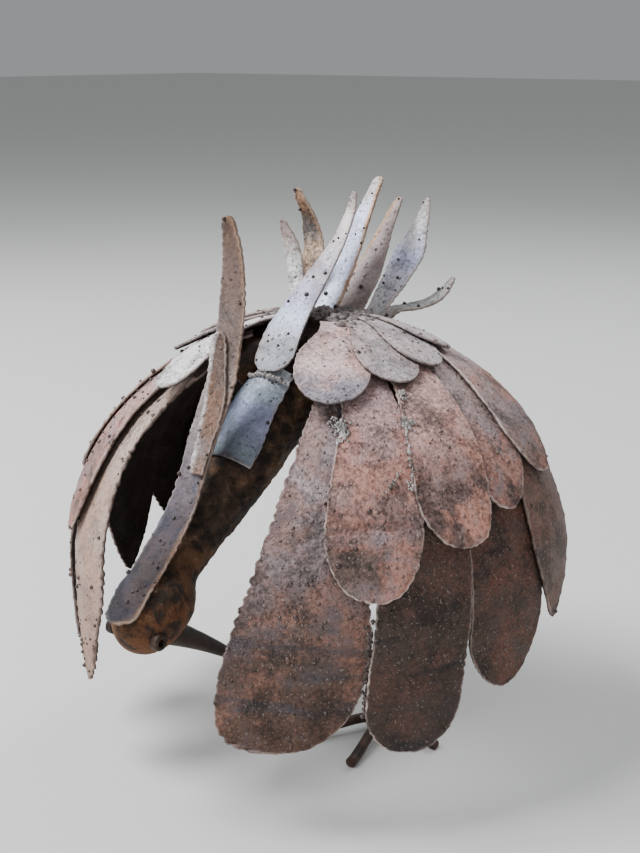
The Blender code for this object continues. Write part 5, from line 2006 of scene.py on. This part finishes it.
    def front_foot(self) -> bpy.types.Object:
        """Make the bright bead that holds the front plume's foot on the nape plate."""
        random = np.random.default_rng(5)
        count = self.foot_grains
        share = np.linspace(0, 1, count)
        x = mix(self.foot_right, self.foot_left, share) + random.normal(0, 0.0005, count)
        drop = self.foot_sag * (2 * share - 1) ** 2
        y = SHELL.axis_y - self.foot_ahead + drop * 0.4 + random.normal(0, 0.0006, count)
        z = SHELL.crown - self.foot_below - drop + random.normal(0, 0.0005, count)
        sizes = random.uniform(0.0007, 0.0016, count)
        points = np.stack([x, y, z], axis=1)
        return self.run("front_plume_weld", points, sizes, self.foot_voxel, WELD_METAL, Slot.BLUED)


@dataclass(frozen=True)
class Studio:
    """Plain pale floor, soft lights and the camera.

    A light has its name, place, width, power and colour.
    """

    azimuth: float = math.radians(40)
    elevation: float = math.radians(15)
    distance: float = 0.80
    target_height: float = 0.181
    focal_pixels: float = 1428.0
    picture_height: float = 853.0
    sensor: float = 36.0
    floor_half_width: float = 14.0
    sky: Colour = (0.80, 0.84, 0.86)
    sky_strength: float = 0.38
    lights: tuple = (
        ("window", (-0.80, -1.15, 2.15), 1.3, 92.0, (0.95, 0.98, 1.0)),
        ("fill", (1.6, -1.2, 0.9), 1.4, 7.0, (1.0, 0.97, 0.94)),
        ("side", (-1.6, 0.1, 1.1), 0.9, 11.0, (1.0, 0.99, 0.98)),
        ("back", (-0.2, 1.5, 1.5), 1.0, 14.0, (0.92, 0.96, 1.0)),
    )

    def build(self) -> None:
        """Make the floor, the lights, the world and the camera."""
        self.floor()
        for name, place, size, power, colour in self.lights:
            self.light(name, place, size, power, colour)
        world = bpy.data.worlds.new("studio")
        bpy.context.scene.world = world
        world.use_nodes = True
        background = world.node_tree.nodes["Background"]
        background.inputs["Color"].default_value = (*self.sky, 1.0)
        background.inputs["Strength"].default_value = self.sky_strength
        self.camera()

    def floor(self) -> None:
        """Make the floor."""
        mesh = bpy.data.meshes.new("floor")
        size = self.floor_half_width
        corners = [(-size, -size, 0), (size, -size, 0), (size, size, 0), (-size, size, 0)]
        mesh.from_pydata(corners, [], [(0, 1, 2, 3)])
        made = add_object("floor", mesh)
        mesh.materials.append(FloorFinish("pale_floor").material())

    def light(self, name: str, place: tuple, size: float, power: float, colour: Colour) -> None:
        """Make one soft lamp that faces the bird."""
        lamp = bpy.data.lights.new(name, "AREA")
        lamp.shape = "DISK"
        lamp.size = size
        lamp.energy = power
        lamp.color = colour
        made = add_object(name, lamp)
        made.location = place
        aim = Vector((0, 0, self.target_height)) - Vector(place)
        made.rotation_euler = aim.to_track_quat("-Z", "Y").to_euler()

    def camera(self) -> None:
        """Make the camera at the photograph's angle."""
        target = Vector((SHELL.axis_x, SHELL.axis_y, self.target_height))
        back = Vector((math.sin(self.azimuth) * math.cos(self.elevation),
                       -math.cos(self.azimuth) * math.cos(self.elevation), math.sin(self.elevation)))
        lens = bpy.data.cameras.new("camera")
        lens.sensor_width = self.sensor
        lens.lens = self.focal_pixels / self.picture_height * self.sensor
        lens.clip_start = 0.01
        made = add_object("camera", lens)
        made.location = target + back * self.distance
        made.rotation_euler = (-back).to_track_quat("-Z", "Y").to_euler()
        bpy.context.scene.camera = made


def main() -> None:
    """Build the bird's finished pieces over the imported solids."""
    logging.basicConfig(level=logging.INFO)
    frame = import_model()
    Studio().build()
    left, right = LEFT_WING.build(), RIGHT_WING.build()
    crest = Crest().build()
    crown = CrownPlumes().build()
    nape = NapePlate()
    nape.build()
    NeckAndHead().build()
    Rods().build()
    for side in Side:
        Eye().build(side)
    BodyMound().build(frame)
    spatter = Spatter()
    for name, sheets, slot, finish in (("left_wing", left, Slot.WING, BEAD_METAL),
                                       ("right_wing", right, Slot.WING, BEAD_METAL),
                                       ("crest", crest + crown + [nape], Slot.CREST, CREST_BEADS)):
        spatter.drop(name + "_fine_spatter", sheets, FINE_SHOWER, slot, finish)
        spatter.drop(name + "_large_spatter", sheets, LARGE_SHOWER, slot, finish)
    welds = Welds()
    welds.seams()
    welds.front_seam()
    welds.collar()
    welds.front_foot()


if __name__ == "__main__":
    main()
